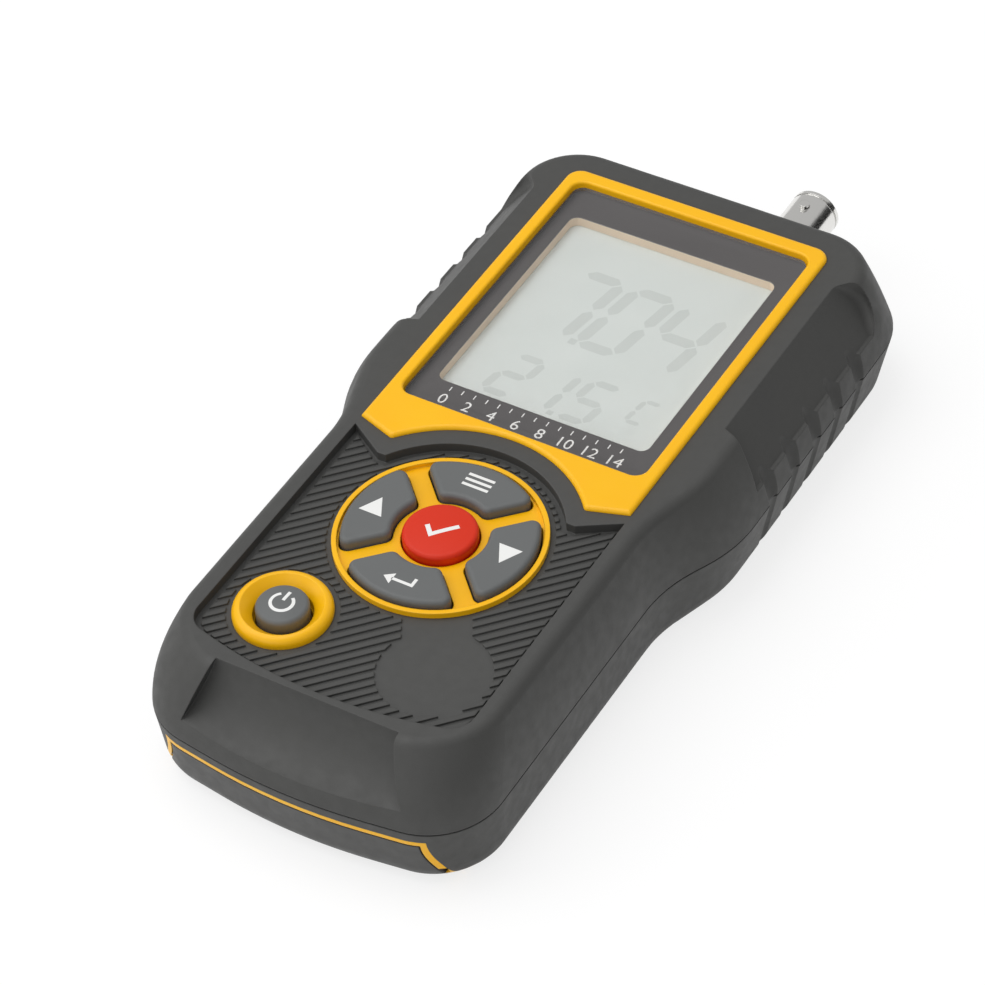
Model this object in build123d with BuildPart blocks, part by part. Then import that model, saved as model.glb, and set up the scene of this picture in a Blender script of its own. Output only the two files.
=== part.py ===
from build123d import *
import os
from math import pi, sqrt

# A hand-held pH meter: orange hard housing, grey soft skin, display, six keys, battery door and a
# bayonet signal jack. Millimetres. X to the right, Y towards the jack, Z up out of the display.
# Z = 0 is the back face that the meter lies on, and X = Y = 0 is the middle of the case.

os.makedirs("parts", exist_ok=True)

# Case, outside: how far it reaches past the display and the keys, and how each height steps in
parting_z = 14.2
mid_z = 21.4
rim_z = 28.6
handle_shoulder = 6.3
handle_inset_mid = 0.7
handle_inset_rim = 3.2
handle_inset_back = 0.6
head_shoulder = 13.3
head_inset_mid = 1.7
head_inset_rim = 6.0
head_inset_back = 3.0
end_shoulder = 12.45
end_inset_mid = 2.4
end_inset_rim = 7.0
end_inset_back = 1.6
top_shoulder = 10.4
top_inset_mid = 1.7
top_inset_rim = 4.6
top_inset_back = 1.2
end_bow = 4.6
end_bow_radius = 110.0
end_corner = 13.6
end_corner_rim = 15.5
top_corner = 15.0
top_corner_rim = 10.0
waist_low_y = -7.9
waist_high_y = 6.7
waist_radius = 28.0
rim_round = 2.6
back_round = 5.0
seam_depth = 0.5
seam_half = 0.15

# Hard housing under the skin
skin = 1.8
wall = 2.0
face_z = 25.0
face_draft_handle = 2.0
face_draft_head = 7.3
face_draft_end = 11.8
face_draft_top = 3.6
core_back_z = 1.9
core_end_corner = 9.2
core_top_corner = 13.2
back_draft = 2.9
back_draft_head = 5.2
back_draft_end = 4.0
seat_gap = 0.3

# Soft recess round the keys
ring_y = -25.5
recess_depth = 1.9
recess_top_y = -9.3
recess_neck = 20.0
recess_neck_y = -13.8
recess_arc_band = 2.8
recess_end_y = -67.2
recess_end_bow = 4.0
recess_corner = 4.5

# Key ring and keys
ring_radius = 18.9
ring_rim = 0.9
ring_top_z = 27.8
ring_floor_z = 26.9
sector_margin = 1.5
sector_inner = 8.6
spoke = 4.0
key_corner = 1.6
enter_radius = 6.7
key_gap = 0.3
key_top_z = 28.9
key_crown = 0.9
key_flange = 0.8
dome_squashed = 0.5
key_travel = 1.0
power_x = -14.8
power_rise = 14.35
power_bead = 8.8
power_bead_z = 28.7
power_bead_foot = 1.7
power_bead_crest = 1.5
power_key_radius = 4.7
power_funnel_z = 26.7

# Smooth pad and hatching in the recess
pad_x = 15.3
pad_rise = 14.1
pad_radius = 9.0
pad_neck = 12.0
hatch_pitch = 1.75
hatch_width = 0.95
hatch_height = 0.4
hatch_angle = 47.0
hatch_margin = 1.0

# Display: the glass sets the view, the view sets the window, and the window sets the bezel
lcd_width = 48.0
lcd_length = 57.0
lcd_thick = 2.2
view_lap_side = 2.5
view_lap_end = 3.45
view_corner = 1.8
view_margin = 0.7
frame_side = 3.0
frame_end = 7.15
window_low_y = 1.4
window_thick = 1.5
window_z = 28.2
window_corner = 2.2
window_gap = 0.3
mask_thick = 0.2
bezel_side = 2.8
bezel_frame = 3.45
bezel_low_y = -7.25
bezel_tip_x = 18.7
bezel_tip_y = -10.05
bezel_arc_band = 6.2
bezel_corner = 3.0
bezel_z = 29.4
bezel_round = 0.8
bezel_lip_round = 0.5
display_plate = 1.6
gasket_fit = 0.05
holder_wall = 1.4
holder_floor = 0.6
holder_ledge = 2.0
zebra_width = 1.8
zebra_space = 0.4

# Board, contact sheet and small parts
board_top_z = 19.2
board_thick = 1.6
board_side_room = 6.4
board_head_room = 10.2
board_end_room = 13.15
board_top_room = 14.65
board_step_y = 8.0
board_cut = 6.0
mat_thick = 1.0
mat_side = 3.4
mat_low_rise = 5.2
mat_high_rise = 20.5
chip_tall = 1.5
shield_tall = 3.2
shield_width = 15.0
shield_length = 13.0
shield_back = 24.5
chip_places = [
    (-10.0, 24.0, 12.0, 12.0),
    (11.4, 20.0, 5.0, 6.2),
    (0.0, 2.0, 9.0, 9.0),
    (-14.0, 46.0, 5.0, 4.0),
]
dome_inset = 1.2
round_key_rise = 0.35

# Fasteners, with their places measured in from the case, the door and the display
case_screw_side = 9.1
case_screw_head_side = 11.6
case_screw_door = 7.0
case_screw_top = 12.45
case_screw_radius = 1.45
case_screw_head = 2.8
case_screw_head_tall = 1.6
case_boss = 3.2
board_screw_side = 10.1
board_screw_rise = 21.65
board_screw_lcd_side = 4.2
board_screw_lcd_rise = 6.4
board_screw_radius = 1.0
board_screw_head = 1.9
board_screw_head_tall = 1.2
board_boss = 2.4
screw_fit = 0.04

# Side facets and grip grooves
facet_inset = 9.1
facet_low_inset = 1.7
facet_low_z = 19.6
facet_low_y = 17.5
facet_top_room = 21.05
facet_peak_room = 13.25
facet_side_room = 21.65
facet_peak_reach = 4.5
facet_round = 4.0
facet_blend = 1.5
groove_pitch = 8.5
groove_count = 5
groove_first_y = 20.35
groove_radius = 2.0
groove_depth = 0.65
groove_lean_front = 0.34
groove_lean_back = 0.22

# End scoop
scoop_half_top = 17.2
scoop_half_low = 22.6
scoop_top_gap = 1.2
scoop_low_gap = 0.35
scoop_low_z = 17.6
scoop_sag = 3.4

# Battery door and bay
cell_radius = 5.25
cell_length = 44.5
cell_pitch = 11.0
cell_count = 4
bay_end = 8.25
bay_side_room = 0.7
spring_reach = 5.1
bay_roof_z = 13.0
door_lap_side = 1.9
door_lap_end = 2.4
door_flare = 3.2
door_top_z = 10.8
door_thick = 1.6
door_margin = 1.3
door_gap = 0.3
rail_side = 1.0
rail_stem = 1.0
rail_lip = 1.2
rail_thick = 1.0
rail_low_room = 5.4
rail_high_room = 4.6
contact_thick = 0.4
bay_wall = 1.6
wire_start_z = 9.0
screw_head_gap = 0.2
screw_skin_gap = 0.6

# Signal jack, with its places along the axis measured from the face of its panel
jack_x = 11.4
jack_sink = 3.25
jack_barrel = 4.83
jack_bore = 4.1
jack_reach = 18.0
jack_panel = 2.6
jack_flange = 6.9
jack_flange_thick = 2.0
jack_thread = 4.7
jack_tail = 9.9
jack_lug = 12.8
jack_lug_radius = 1.0
jack_lug_reach = 5.6
jack_ring = 16.2
jack_ring_wide = 0.5
jack_ring_deep = 0.2
jack_skin_hole = 7.4
jack_clear = 0.1
jack_panel_half = 9.0
jack_panel_high = 8.2
jack_panel_low = 9.6
jack_nut_room = 8.4
seal_inset = 0.7
seal_width = 0.6
seal_half_tall = 0.6
seal_gap = 0.05
gasket_thick = 0.8
washer_thick = 0.8
nut_thick = 2.4
nut_half_flat = 6.4
jack_tail_bore = 3.0
jack_floor = 5.6
jack_collar = 1.2
jack_contact = 0.95
jack_contact_bore = 0.55
jack_nose = 13.8
jack_thread_long = 7.4
jack_fit = 0.03
lead_radius = 0.9
lead_bend = 12.0
wire_run = 9.0
wire_bend = 5.0
cell_nub_tall = 1.0
cell_nub_radius = 2.6
spring_half = 3.6
spring_width = 6.0
wire_radius = 0.7

# Widths and lengths that follow from these
view_width = lcd_width - 2 * view_lap_side
view_length = lcd_length - 2 * view_lap_end
window_width = view_width + 2 * frame_side
window_length = view_length + 2 * frame_end
window_y = window_low_y + window_length / 2
recess_half = window_width / 2 + bezel_side
recess_arc = ring_radius + recess_arc_band
bezel_arc = ring_radius + bezel_arc_band
bezel_top_y = window_low_y + window_length + bezel_frame
handle_half = recess_half + handle_shoulder
handle_half_mid = handle_half - handle_inset_mid
handle_half_rim = handle_half - handle_inset_rim
handle_half_back = handle_half - handle_inset_back
head_half = recess_half + head_shoulder
head_half_mid = head_half - head_inset_mid
head_half_rim = head_half - head_inset_rim
head_half_back = head_half - head_inset_back
end_y = recess_end_y - end_shoulder
top_y = bezel_top_y + top_shoulder
case_length = top_y - end_y
sector_outer = ring_radius - sector_margin
power_y = recess_end_y + power_rise
pad_y = recess_end_y + pad_rise
facet_x = head_half - facet_inset
facet_low_x = head_half - facet_low_inset
facet_high_y = top_y - facet_top_room
facet_peak_x = facet_x + facet_peak_reach
facet_peak_y = top_y - facet_peak_room
facet_side_y = top_y - facet_side_room
scoop_top_y = recess_end_y - scoop_top_gap
scoop_low_y = end_y + scoop_low_gap
bay_half = cell_count * cell_pitch / 2 + bay_side_room
bay_low_y = end_y + bay_end
bay_high_y = bay_low_y + cell_length + contact_thick + spring_reach
door_half = bay_half + door_lap_side
door_high_y = bay_high_y + door_lap_end
rail_x = door_half + rail_side
rail_low_y = bay_low_y + rail_low_room
rail_high_y = bay_high_y - rail_high_room
board_half = handle_half - board_side_room
board_head_half = head_half - board_head_room
board_low_y = end_y + board_end_room
board_high_y = top_y - board_top_room
mat_half = sector_outer + mat_side
mat_low_y = recess_end_y + mat_low_rise
mat_high_y = ring_y + mat_high_rise
case_screw_places = [
    (handle_half - case_screw_side, door_high_y + case_screw_door),
    (head_half - case_screw_head_side, top_y - case_screw_top),
]
board_screw_places = [
    (handle_half - board_screw_side, end_y + board_screw_rise),
    (lcd_width / 2 + board_screw_lcd_side, window_y + board_screw_lcd_rise),
]

# Heights and depths that follow from these
recess_floor_z = rim_z - recess_depth
plate_low_z = face_z - wall
mat_top_z = board_top_z + mat_thick
board_low_z = board_top_z - board_thick
key_foot_z = mat_top_z + key_travel + dome_squashed
key_flange_thick = plate_low_z - seat_gap - key_foot_z
mask_z = window_z - window_thick - mask_thick
display_low_z = mask_z - display_plate
lcd_top_z = display_low_z - seat_gap
lcd_low_z = lcd_top_z - lcd_thick
backlight_z = board_top_z + holder_floor
cell_z = door_thick + seat_gap + cell_radius
groove_reach = 14.0
power_hole = power_key_radius + key_gap
power_crest = power_bead - power_bead_crest
holder_width = lcd_width + 2 * (holder_wall + seat_gap)
holder_length = lcd_length + 2 * (holder_wall + seat_gap)
case_screw_top_z = plate_low_z - 1.5
case_screw_seat_z = core_back_z + 0.9
board_screw_top_z = plate_low_z - 0.8
rail_top_z = core_back_z + 1.2 + rail_thick
terminal_x = (cell_count - 1) / 2 * cell_pitch

# Places of the jack that follow from these
jack_z = parting_z
jack_face_y = top_y - jack_sink
jack_inner_y = jack_face_y - jack_panel
jack_tip_y = jack_face_y + jack_reach
jack_tail_y = jack_face_y - jack_tail
jack_lug_y = jack_face_y + jack_lug
jack_floor_y = jack_face_y + jack_floor
jack_nose_y = jack_face_y + jack_nose
jack_thread_y = jack_face_y - jack_thread_long
jack_flange_y = jack_face_y + gasket_thick
jack_shoulder_y = jack_flange_y + jack_flange_thick
jack_nut_depth = washer_thick + nut_thick + 1.0
shield_y = jack_tail_y - shield_back


def mirrored(places):
    """Each place and its mirror image on the other side of the meter."""
    return [(side * x, y) for x, y in places for side in (1, -1)]


def case_plan(z, handle, head, low, high, low_corner, high_corner):
    """Plan of the case at one height: bowed lower end, handle, waist and wide head."""
    right = [(handle, low + end_bow), (handle, waist_low_y), (head, waist_high_y), (head, high)]
    left = [(-x, y) for x, y in reversed(right)]
    rounds = [low_corner, waist_radius, waist_radius, high_corner]
    with BuildSketch(Plane.XY.offset(z)) as plan:
        with BuildLine():
            FilletPolyline(
                (0, low), *right, *left, radius=[end_bow_radius, *rounds, *reversed(rounds)], close=True
            )
        make_face()
    return plan.sketch


def core_plan(z, inset):
    """Plan of the hard housing at one height, and of its hollow with a larger inset."""
    if z >= parting_z:
        rise = (z - parting_z) / (face_z - parting_z)
        drafts = (face_draft_handle, face_draft_head, face_draft_end, face_draft_top)
    else:
        rise = (parting_z - z) / (parting_z - core_back_z)
        drafts = (back_draft, back_draft_head, back_draft_end, back_draft)
    handle_in, head_in, end_in, top_in = [skin + inset + rise * draft for draft in drafts]
    return case_plan(
        z,
        handle_half - handle_in,
        head_half - head_in,
        end_y + end_in,
        top_y - top_in,
        core_end_corner,
        core_top_corner,
    )


def disc(x, y, z, radius):
    """Round sketch at one height."""
    with BuildSketch(Plane.XY.offset(z)) as sketch:
        with Locations((x, y)):
            Circle(radius)
    return sketch.sketch


def panel(z, y, width, length, corner):
    """Rounded rectangle on the centre line at one height."""
    with BuildSketch(Plane.XY.offset(z)) as sketch:
        with Locations((0, y)):
            RectangleRounded(width, length, corner)
    return sketch.sketch


def recess_plan(z, inset=0.0):
    """Plan of the soft recess round the keys."""
    half = recess_half - inset
    side_end_y = recess_end_y + recess_end_bow
    with BuildSketch(Plane.XY.offset(z)) as sketch:
        with BuildLine():
            Polyline(
                (half, side_end_y + inset),
                (half, recess_top_y - inset),
                (recess_neck, recess_neck_y - inset),
                (-recess_neck, recess_neck_y - inset),
                (-half, recess_top_y - inset),
                (-half, side_end_y + inset),
            )
            ThreePointArc(
                (-half, side_end_y + inset), (0, recess_end_y + inset), (half, side_end_y + inset)
            )
        make_face()
        with Locations((0, ring_y)):
            Circle(recess_arc - inset)
        fillet(sketch.vertices().group_by(Axis.Y)[0], recess_corner - inset)
    return sketch.sketch


def bezel_plan(z, inset=0.0):
    """Plan of the orange display bezel, hollowed below by the arc round the keys."""
    half = recess_half - inset
    with BuildSketch(Plane.XY.offset(z)) as sketch:
        with BuildLine():
            Polyline(
                (half, bezel_top_y - inset),
                (half, bezel_low_y + inset),
                (bezel_tip_x, bezel_tip_y + inset),
                (-bezel_tip_x, bezel_tip_y + inset),
                (-half, bezel_low_y + inset),
                (-half, bezel_top_y - inset),
                close=True,
            )
        make_face()
        with Locations((0, ring_y)):
            Circle(bezel_arc + inset, mode=Mode.SUBTRACT)
        fillet(sketch.vertices().group_by(Axis.Y)[-1], bezel_corner - inset)
        fillet(sketch.vertices().filter_by_position(Axis.Y, bezel_tip_y, bezel_low_y - 1.0), 0.9)
    return sketch.sketch


def sector_plan(z, turn, grow=0.0):
    """Plan of one arc key: a quarter of a ring between two spokes, turned about the ring's centre."""
    reach = 2 * sector_outer
    with BuildSketch(Plane.XY.offset(z)) as sketch:
        with Locations((0, ring_y)):
            Circle(sector_outer + grow)
            Circle(sector_inner - grow, mode=Mode.SUBTRACT)
        with BuildLine(mode=Mode.PRIVATE) as wedge:
            start = (spoke / 2 - grow) * sqrt(2)
            Polyline((0, start), (reach, start + reach), (-reach, start + reach), close=True)
        with Locations(Location((0, ring_y, 0), turn)):
            add(make_face(wedge.edges(), mode=Mode.PRIVATE), mode=Mode.INTERSECT)
        fillet(sketch.vertices(), key_corner)
    return sketch.sketch


sector_turns = {"menu": 0, "up": 90, "esc": 180, "down": 270}


def jack_plane(y):
    """Plane across the jack's axis, facing out of the meter."""
    return Plane(origin=(jack_x, y, jack_z), x_dir=(1, 0, 0), z_dir=(0, 1, 0))


def jack_disc(y, radius):
    """Round sketch across the jack's axis."""
    with BuildSketch(jack_plane(y)) as sketch:
        Circle(radius)
    return sketch.sketch


def door_profile(grow):
    """Cross-section of the door's space, flaring towards the back, across the Y axis."""
    top = door_top_z + grow
    low = -1.0
    with BuildSketch(Plane.XZ.offset(-door_high_y - grow)) as sketch:
        with BuildLine():
            Polyline((-door_half - door_flare - grow, low), (door_half + door_flare + grow, low))
            Spline(
                (door_half + door_flare + grow, low),
                (door_half + 0.6 * door_flare + grow, 0.4 * top),
                (door_half + grow, top),
                tangents=[(0, 1), (0, 1)],
            )
            Line((door_half + grow, top), (-door_half - grow, top))
            Spline(
                (-door_half - grow, top),
                (-door_half - 0.6 * door_flare - grow, 0.4 * top),
                (-door_half - door_flare - grow, low),
                tangents=[(0, -1), (0, -1)],
            )
        make_face()
    return sketch.sketch


def jack_panel_plan(z):
    """Plan of the upright panel that the jack is clamped to."""
    with BuildSketch(Plane.XY.offset(z)) as sketch:
        with Locations((jack_x, jack_face_y - jack_panel / 2)):
            Rectangle(2 * jack_panel_half, jack_panel)
    return sketch.sketch


def seal_plan(z, gap):
    """Plan of the cord seal along the middle of the housing's wall."""
    with BuildSketch(Plane.XY.offset(z)) as sketch:
        add(core_plan(parting_z, seal_inset - gap).moved(Location((0, 0, z - parting_z))))
        add(
            core_plan(parting_z, seal_inset + seal_width + gap).moved(Location((0, 0, z - parting_z))),
            mode=Mode.SUBTRACT,
        )
    return sketch.sketch


# Outer form of the front half, with its side facets, grip grooves and end scoop
with BuildPart() as front_form:
    loft(
        sections=[
            case_plan(parting_z, handle_half, head_half, end_y, top_y, end_corner, top_corner),
            case_plan(
                mid_z,
                handle_half_mid,
                head_half_mid,
                end_y + end_inset_mid,
                top_y - top_inset_mid,
                end_corner,
                top_corner,
            ),
            case_plan(
                rim_z,
                handle_half_rim,
                head_half_rim,
                end_y + end_inset_rim,
                top_y - top_inset_rim,
                end_corner_rim,
                top_corner_rim,
            ),
        ]
    )
    fillet(front_form.edges().group_by(Axis.Z)[-1], rim_round)

# Outer form of the back half
with BuildPart() as back_form:
    loft(
        sections=[
            case_plan(
                0,
                handle_half_back,
                head_half_back,
                end_y + end_inset_back,
                top_y - top_inset_back,
                end_corner,
                top_corner,
            ),
            case_plan(parting_z, handle_half, head_half, end_y, top_y, end_corner, top_corner),
        ],
        ruled=True,
    )
    fillet(back_form.edges().group_by(Axis.Z)[0], back_round)

# Cutter for the smooth facet above the grip, right-hand side
facet_slope = (facet_low_x - facet_x) / (rim_z - facet_low_z)
facet_reach = head_half + 5.0
facet_edge_x = facet_x - 2.0 * facet_slope
with BuildPart() as side_facet:
    with BuildSketch(Plane.XZ.offset(-facet_peak_y - 10)):
        with BuildLine():
            Polyline(
                (facet_edge_x, rim_z + 2.0),
                (facet_low_x, facet_low_z),
                (facet_reach, facet_low_z - 1.0),
                (facet_reach, rim_z + 2.0),
                close=True,
            )
        make_face()
    extrude(amount=facet_peak_y + 10)
    with BuildSketch(Plane.XY.offset(facet_low_z - 2.0)) as facet_plan:
        with BuildLine():
            Polyline(
                (facet_edge_x - 1.0, facet_high_y),
                (facet_edge_x - 1.0, facet_low_y + 3.0),
                (facet_reach, facet_low_y - 4.0),
                (facet_reach, facet_side_y),
                (facet_peak_x, facet_peak_y),
                close=True,
            )
        make_face()
        fillet(facet_plan.vertices().sort_by(Axis.Y)[-1], facet_round)
    extrude(amount=rim_z, mode=Mode.INTERSECT)
    facet_face = side_facet.faces().sort_by(Axis.X)[0]
    facet_ends = [edge for edge in facet_face.edges() if abs(edge.tangent_at(0.5).Z) > 0.2]
    fillet(facet_ends, facet_blend)

# Cutter for the scoop between the two wedges at the bottom end
scoop_middle = (
    (scoop_top_y + scoop_low_y) / 2 + scoop_sag * 0.7,
    (rim_z + scoop_low_z) / 2 - scoop_sag * 0.7,
)
with BuildPart() as end_scoop:
    with BuildSketch(Plane.YZ.offset(-scoop_half_low - 5)):
        with BuildLine():
            Polyline(
                (scoop_low_y, scoop_low_z),
                (end_y - 5.0, scoop_low_z - 2.0),
                (end_y - 5.0, rim_z + 2.0),
                (scoop_top_y, rim_z + 2.0),
                (scoop_top_y, rim_z),
            )
            ThreePointArc((scoop_top_y, rim_z), scoop_middle, (scoop_low_y, scoop_low_z))
        make_face()
    extrude(amount=2 * scoop_half_low + 10)
    with BuildSketch(Plane.XZ.offset(-scoop_top_y - 5)):
        with BuildLine():
            Polyline(
                (-scoop_half_top, rim_z + 2.0),
                (scoop_half_top, rim_z + 2.0),
                (scoop_half_low, scoop_low_z - 2.0),
                (-scoop_half_low, scoop_low_z - 2.0),
                close=True,
            )
        make_face()
    extrude(amount=40, mode=Mode.INTERSECT)


def grip_grooves(lean, rise):
    """Round grooves down both sides of the grip, leaning in with the wall as they leave the parting."""
    with BuildPart() as grooves:
        for index in range(groove_count):
            y = groove_first_y + index * groove_pitch
            for side in (1, -1):
                with BuildSketch(Plane.XY.offset(parting_z)) as ends:
                    with Locations((side * (head_half + groove_radius - groove_depth), y)):
                        Circle(groove_radius)
                extrude(ends.sketch, amount=groove_reach, dir=(-side * lean, 0, rise))
    return grooves.part


# Hatching: slanted ribs over the recess floor, stopped short of the rings, with one smooth pad
with BuildSketch(Plane.XY.offset(recess_floor_z)) as hatch_field:
    add(recess_plan(recess_floor_z, hatch_margin))
    stops = ((0, ring_y, ring_radius), (power_x, power_y, power_bead), (pad_x, pad_y, pad_radius))
    for x, y, radius in stops:
        with Locations((x, y)):
            Circle(radius + hatch_margin, mode=Mode.SUBTRACT)
    with Locations((pad_x / 2, (pad_y + ring_y) / 2)):
        Rectangle(pad_neck, pad_y - ring_y, rotation=30, mode=Mode.SUBTRACT)
hatch_reach = recess_top_y - recess_end_y + 2 * recess_half
hatch_ribs = int(hatch_reach / hatch_pitch)
with BuildSketch(Plane.XY.offset(recess_floor_z)) as hatching:
    with Locations(Location((0, (recess_top_y + recess_end_y) / 2, 0), hatch_angle)):
        with GridLocations(0, hatch_pitch, 1, hatch_ribs):
            Rectangle(hatch_reach, hatch_width)
    add(hatch_field.sketch, mode=Mode.INTERSECT)

# Everything outside a plan that lies a little way inside the case: it cuts the seam between the halves
with BuildSketch(Plane.XY.offset(parting_z)) as seam_ring:
    Rectangle(4 * head_half, 2 * case_length)
    add(
        case_plan(
            parting_z,
            handle_half - seam_depth,
            head_half - seam_depth,
            end_y + seam_depth,
            top_y - seam_depth,
            end_corner,
            top_corner,
        ),
        mode=Mode.SUBTRACT,
    )

# Front soft skin
with BuildPart() as front_overmould:
    add(front_form.part)
    add(side_facet.part, mode=Mode.SUBTRACT)
    add(side_facet.part.mirror(Plane.YZ), mode=Mode.SUBTRACT)
    add(end_scoop.part, mode=Mode.SUBTRACT)
    add(grip_grooves(groove_lean_front, 1), mode=Mode.SUBTRACT)
    loft(sections=[core_plan(parting_z, 0), core_plan(face_z, 0)], ruled=True, mode=Mode.SUBTRACT)
    extrude(bezel_plan(face_z), amount=rim_z, mode=Mode.SUBTRACT)
    extrude(recess_plan(recess_floor_z), amount=rim_z, mode=Mode.SUBTRACT)
    extrude(hatching.sketch, amount=hatch_height)
    extrude(disc(0, ring_y, face_z, ring_radius), amount=rim_z, mode=Mode.SUBTRACT)
    extrude(disc(power_x, power_y, face_z, power_bead), amount=rim_z, mode=Mode.SUBTRACT)
    extrude(jack_disc(jack_inner_y, jack_skin_hole), amount=rim_z, mode=Mode.SUBTRACT)
    extrude(seam_ring.sketch, amount=seam_half, mode=Mode.SUBTRACT)
front_overmould.part.label = "front_overmould"
export_step(front_overmould.part, "parts/front_overmould.step")

# Front half of the hard housing: bezel, key ring, power bead, openings, bosses and jack panel
with BuildPart() as front_posts:
    for x, y in mirrored(case_screw_places):
        extrude(disc(x, y, parting_z, case_boss), amount=plate_low_z + 0.5 - parting_z)
    for x, y in mirrored(board_screw_places):
        extrude(disc(x, y, board_top_z, board_boss), amount=plate_low_z + 0.5 - board_top_z)
    extrude(jack_panel_plan(parting_z), amount=jack_panel_high)
    loft(sections=[core_plan(parting_z, 0.5), core_plan(face_z, 0.5)], ruled=True, mode=Mode.INTERSECT)

with BuildPart() as front_shell:
    loft(sections=[core_plan(parting_z, 0), core_plan(face_z, 0)], ruled=True)
    loft(sections=[core_plan(parting_z, wall), core_plan(plate_low_z, wall)], ruled=True, mode=Mode.SUBTRACT)
    extrude(bezel_plan(plate_low_z + 0.5), amount=bezel_z - plate_low_z - 0.5)
    fillet(front_shell.edges().group_by(Axis.Z)[-1], bezel_round)
    extrude(panel(mask_z, window_y, window_width + 2 * window_gap, window_length + 2 * window_gap,
                  window_corner + window_gap), amount=rim_z, mode=Mode.SUBTRACT)
    lip_edges = front_shell.edges().group_by(Axis.Z)[-1].filter_by(
        lambda edge: abs(edge.center().X) < window_width / 2 + 1.5 * window_gap
        and abs(edge.center().Y - window_y) < window_length / 2 + 1.5 * window_gap
    )
    fillet(lip_edges, bezel_lip_round)
    extrude(panel(plate_low_z - 1, window_y, holder_width + 2 * seat_gap, holder_length + 2 * seat_gap, 1.0),
            amount=display_low_z - plate_low_z + 1, mode=Mode.SUBTRACT)
    extrude(panel(display_low_z, window_y, view_width + 2 * view_margin, view_length + 2 * view_margin,
                  view_corner), amount=rim_z, mode=Mode.SUBTRACT)
    extrude(disc(0, ring_y, face_z, ring_radius), amount=ring_top_z - face_z)
    extrude(disc(0, ring_y, ring_floor_z, ring_radius - ring_rim), amount=rim_z, mode=Mode.SUBTRACT)
    with BuildSketch(Plane(origin=(power_x, power_y, 0), x_dir=(1, 0, 0), z_dir=(0, -1, 0))):
        with BuildLine():
            Polyline(
                (power_crest, power_bead_z),
                (power_hole + key_gap, power_funnel_z),
                (power_hole, plate_low_z + 0.5),
                (power_bead, plate_low_z + 0.5),
                (power_bead, power_bead_z - power_bead_foot),
            )
            ThreePointArc(
                (power_bead, power_bead_z - power_bead_foot),
                (power_bead - 0.3 * power_bead_crest, power_bead_z - 0.27 * power_bead_foot),
                (power_crest, power_bead_z),
            )
        make_face()
    revolve(axis=Axis((power_x, power_y, 0), (0, 0, 1)))
    for turn in sector_turns.values():
        extrude(sector_plan(plate_low_z - 1, turn, key_gap), amount=rim_z, mode=Mode.SUBTRACT)
    extrude(disc(0, ring_y, plate_low_z - 1, enter_radius + key_gap), amount=rim_z, mode=Mode.SUBTRACT)
    extrude(disc(power_x, power_y, plate_low_z - 1, power_hole), amount=rim_z, mode=Mode.SUBTRACT)
    extrude(jack_disc(jack_inner_y - jack_nut_depth, jack_nut_room), amount=jack_nut_depth,
            mode=Mode.SUBTRACT)
    add(front_posts.part)
    for x, y in mirrored(case_screw_places):
        extrude(disc(x, y, parting_z - 1, case_screw_radius + screw_fit),
                amount=case_screw_top_z + 1 - parting_z + seat_gap, mode=Mode.SUBTRACT)
    for x, y in mirrored(board_screw_places):
        extrude(disc(x, y, board_top_z - 1, board_screw_radius + screw_fit),
                amount=board_screw_top_z + 1 - board_top_z + seat_gap, mode=Mode.SUBTRACT)
    extrude(jack_disc(jack_inner_y - 1, jack_thread + jack_clear), amount=rim_z, mode=Mode.SUBTRACT)
    extrude(jack_disc(jack_face_y, jack_skin_hole), amount=rim_z, mode=Mode.SUBTRACT)
    extrude(seal_plan(parting_z, seal_gap), amount=seal_half_tall, mode=Mode.SUBTRACT)
front_shell.part.label = "front_shell"
export_step(front_shell.part, "parts/front_shell.step")

# Back half of the hard housing: floor, battery bay, door frame, rail slots, bosses and jack panel
with BuildPart() as door_frame:
    extrude(door_profile(door_margin), amount=case_length)
    add(back_form.part, mode=Mode.INTERSECT)
    extrude(door_profile(door_gap), amount=case_length, mode=Mode.SUBTRACT)
    loft(sections=[core_plan(core_back_z, 0), core_plan(parting_z, 0)], ruled=True, mode=Mode.SUBTRACT)

with BuildPart() as back_posts:
    for x, y in mirrored(case_screw_places):
        extrude(disc(x, y, core_back_z, case_boss), amount=parting_z - core_back_z)
    with Locations((0, (bay_high_y + bay_wall + end_y) / 2, (core_back_z + parting_z) / 2)):
        Box(2 * handle_half, bay_high_y + bay_wall - end_y, parting_z - core_back_z)
    extrude(jack_panel_plan(parting_z), amount=-jack_panel_low)
    loft(sections=[core_plan(core_back_z, 0), core_plan(parting_z, 0)], ruled=True, mode=Mode.INTERSECT)

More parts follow.
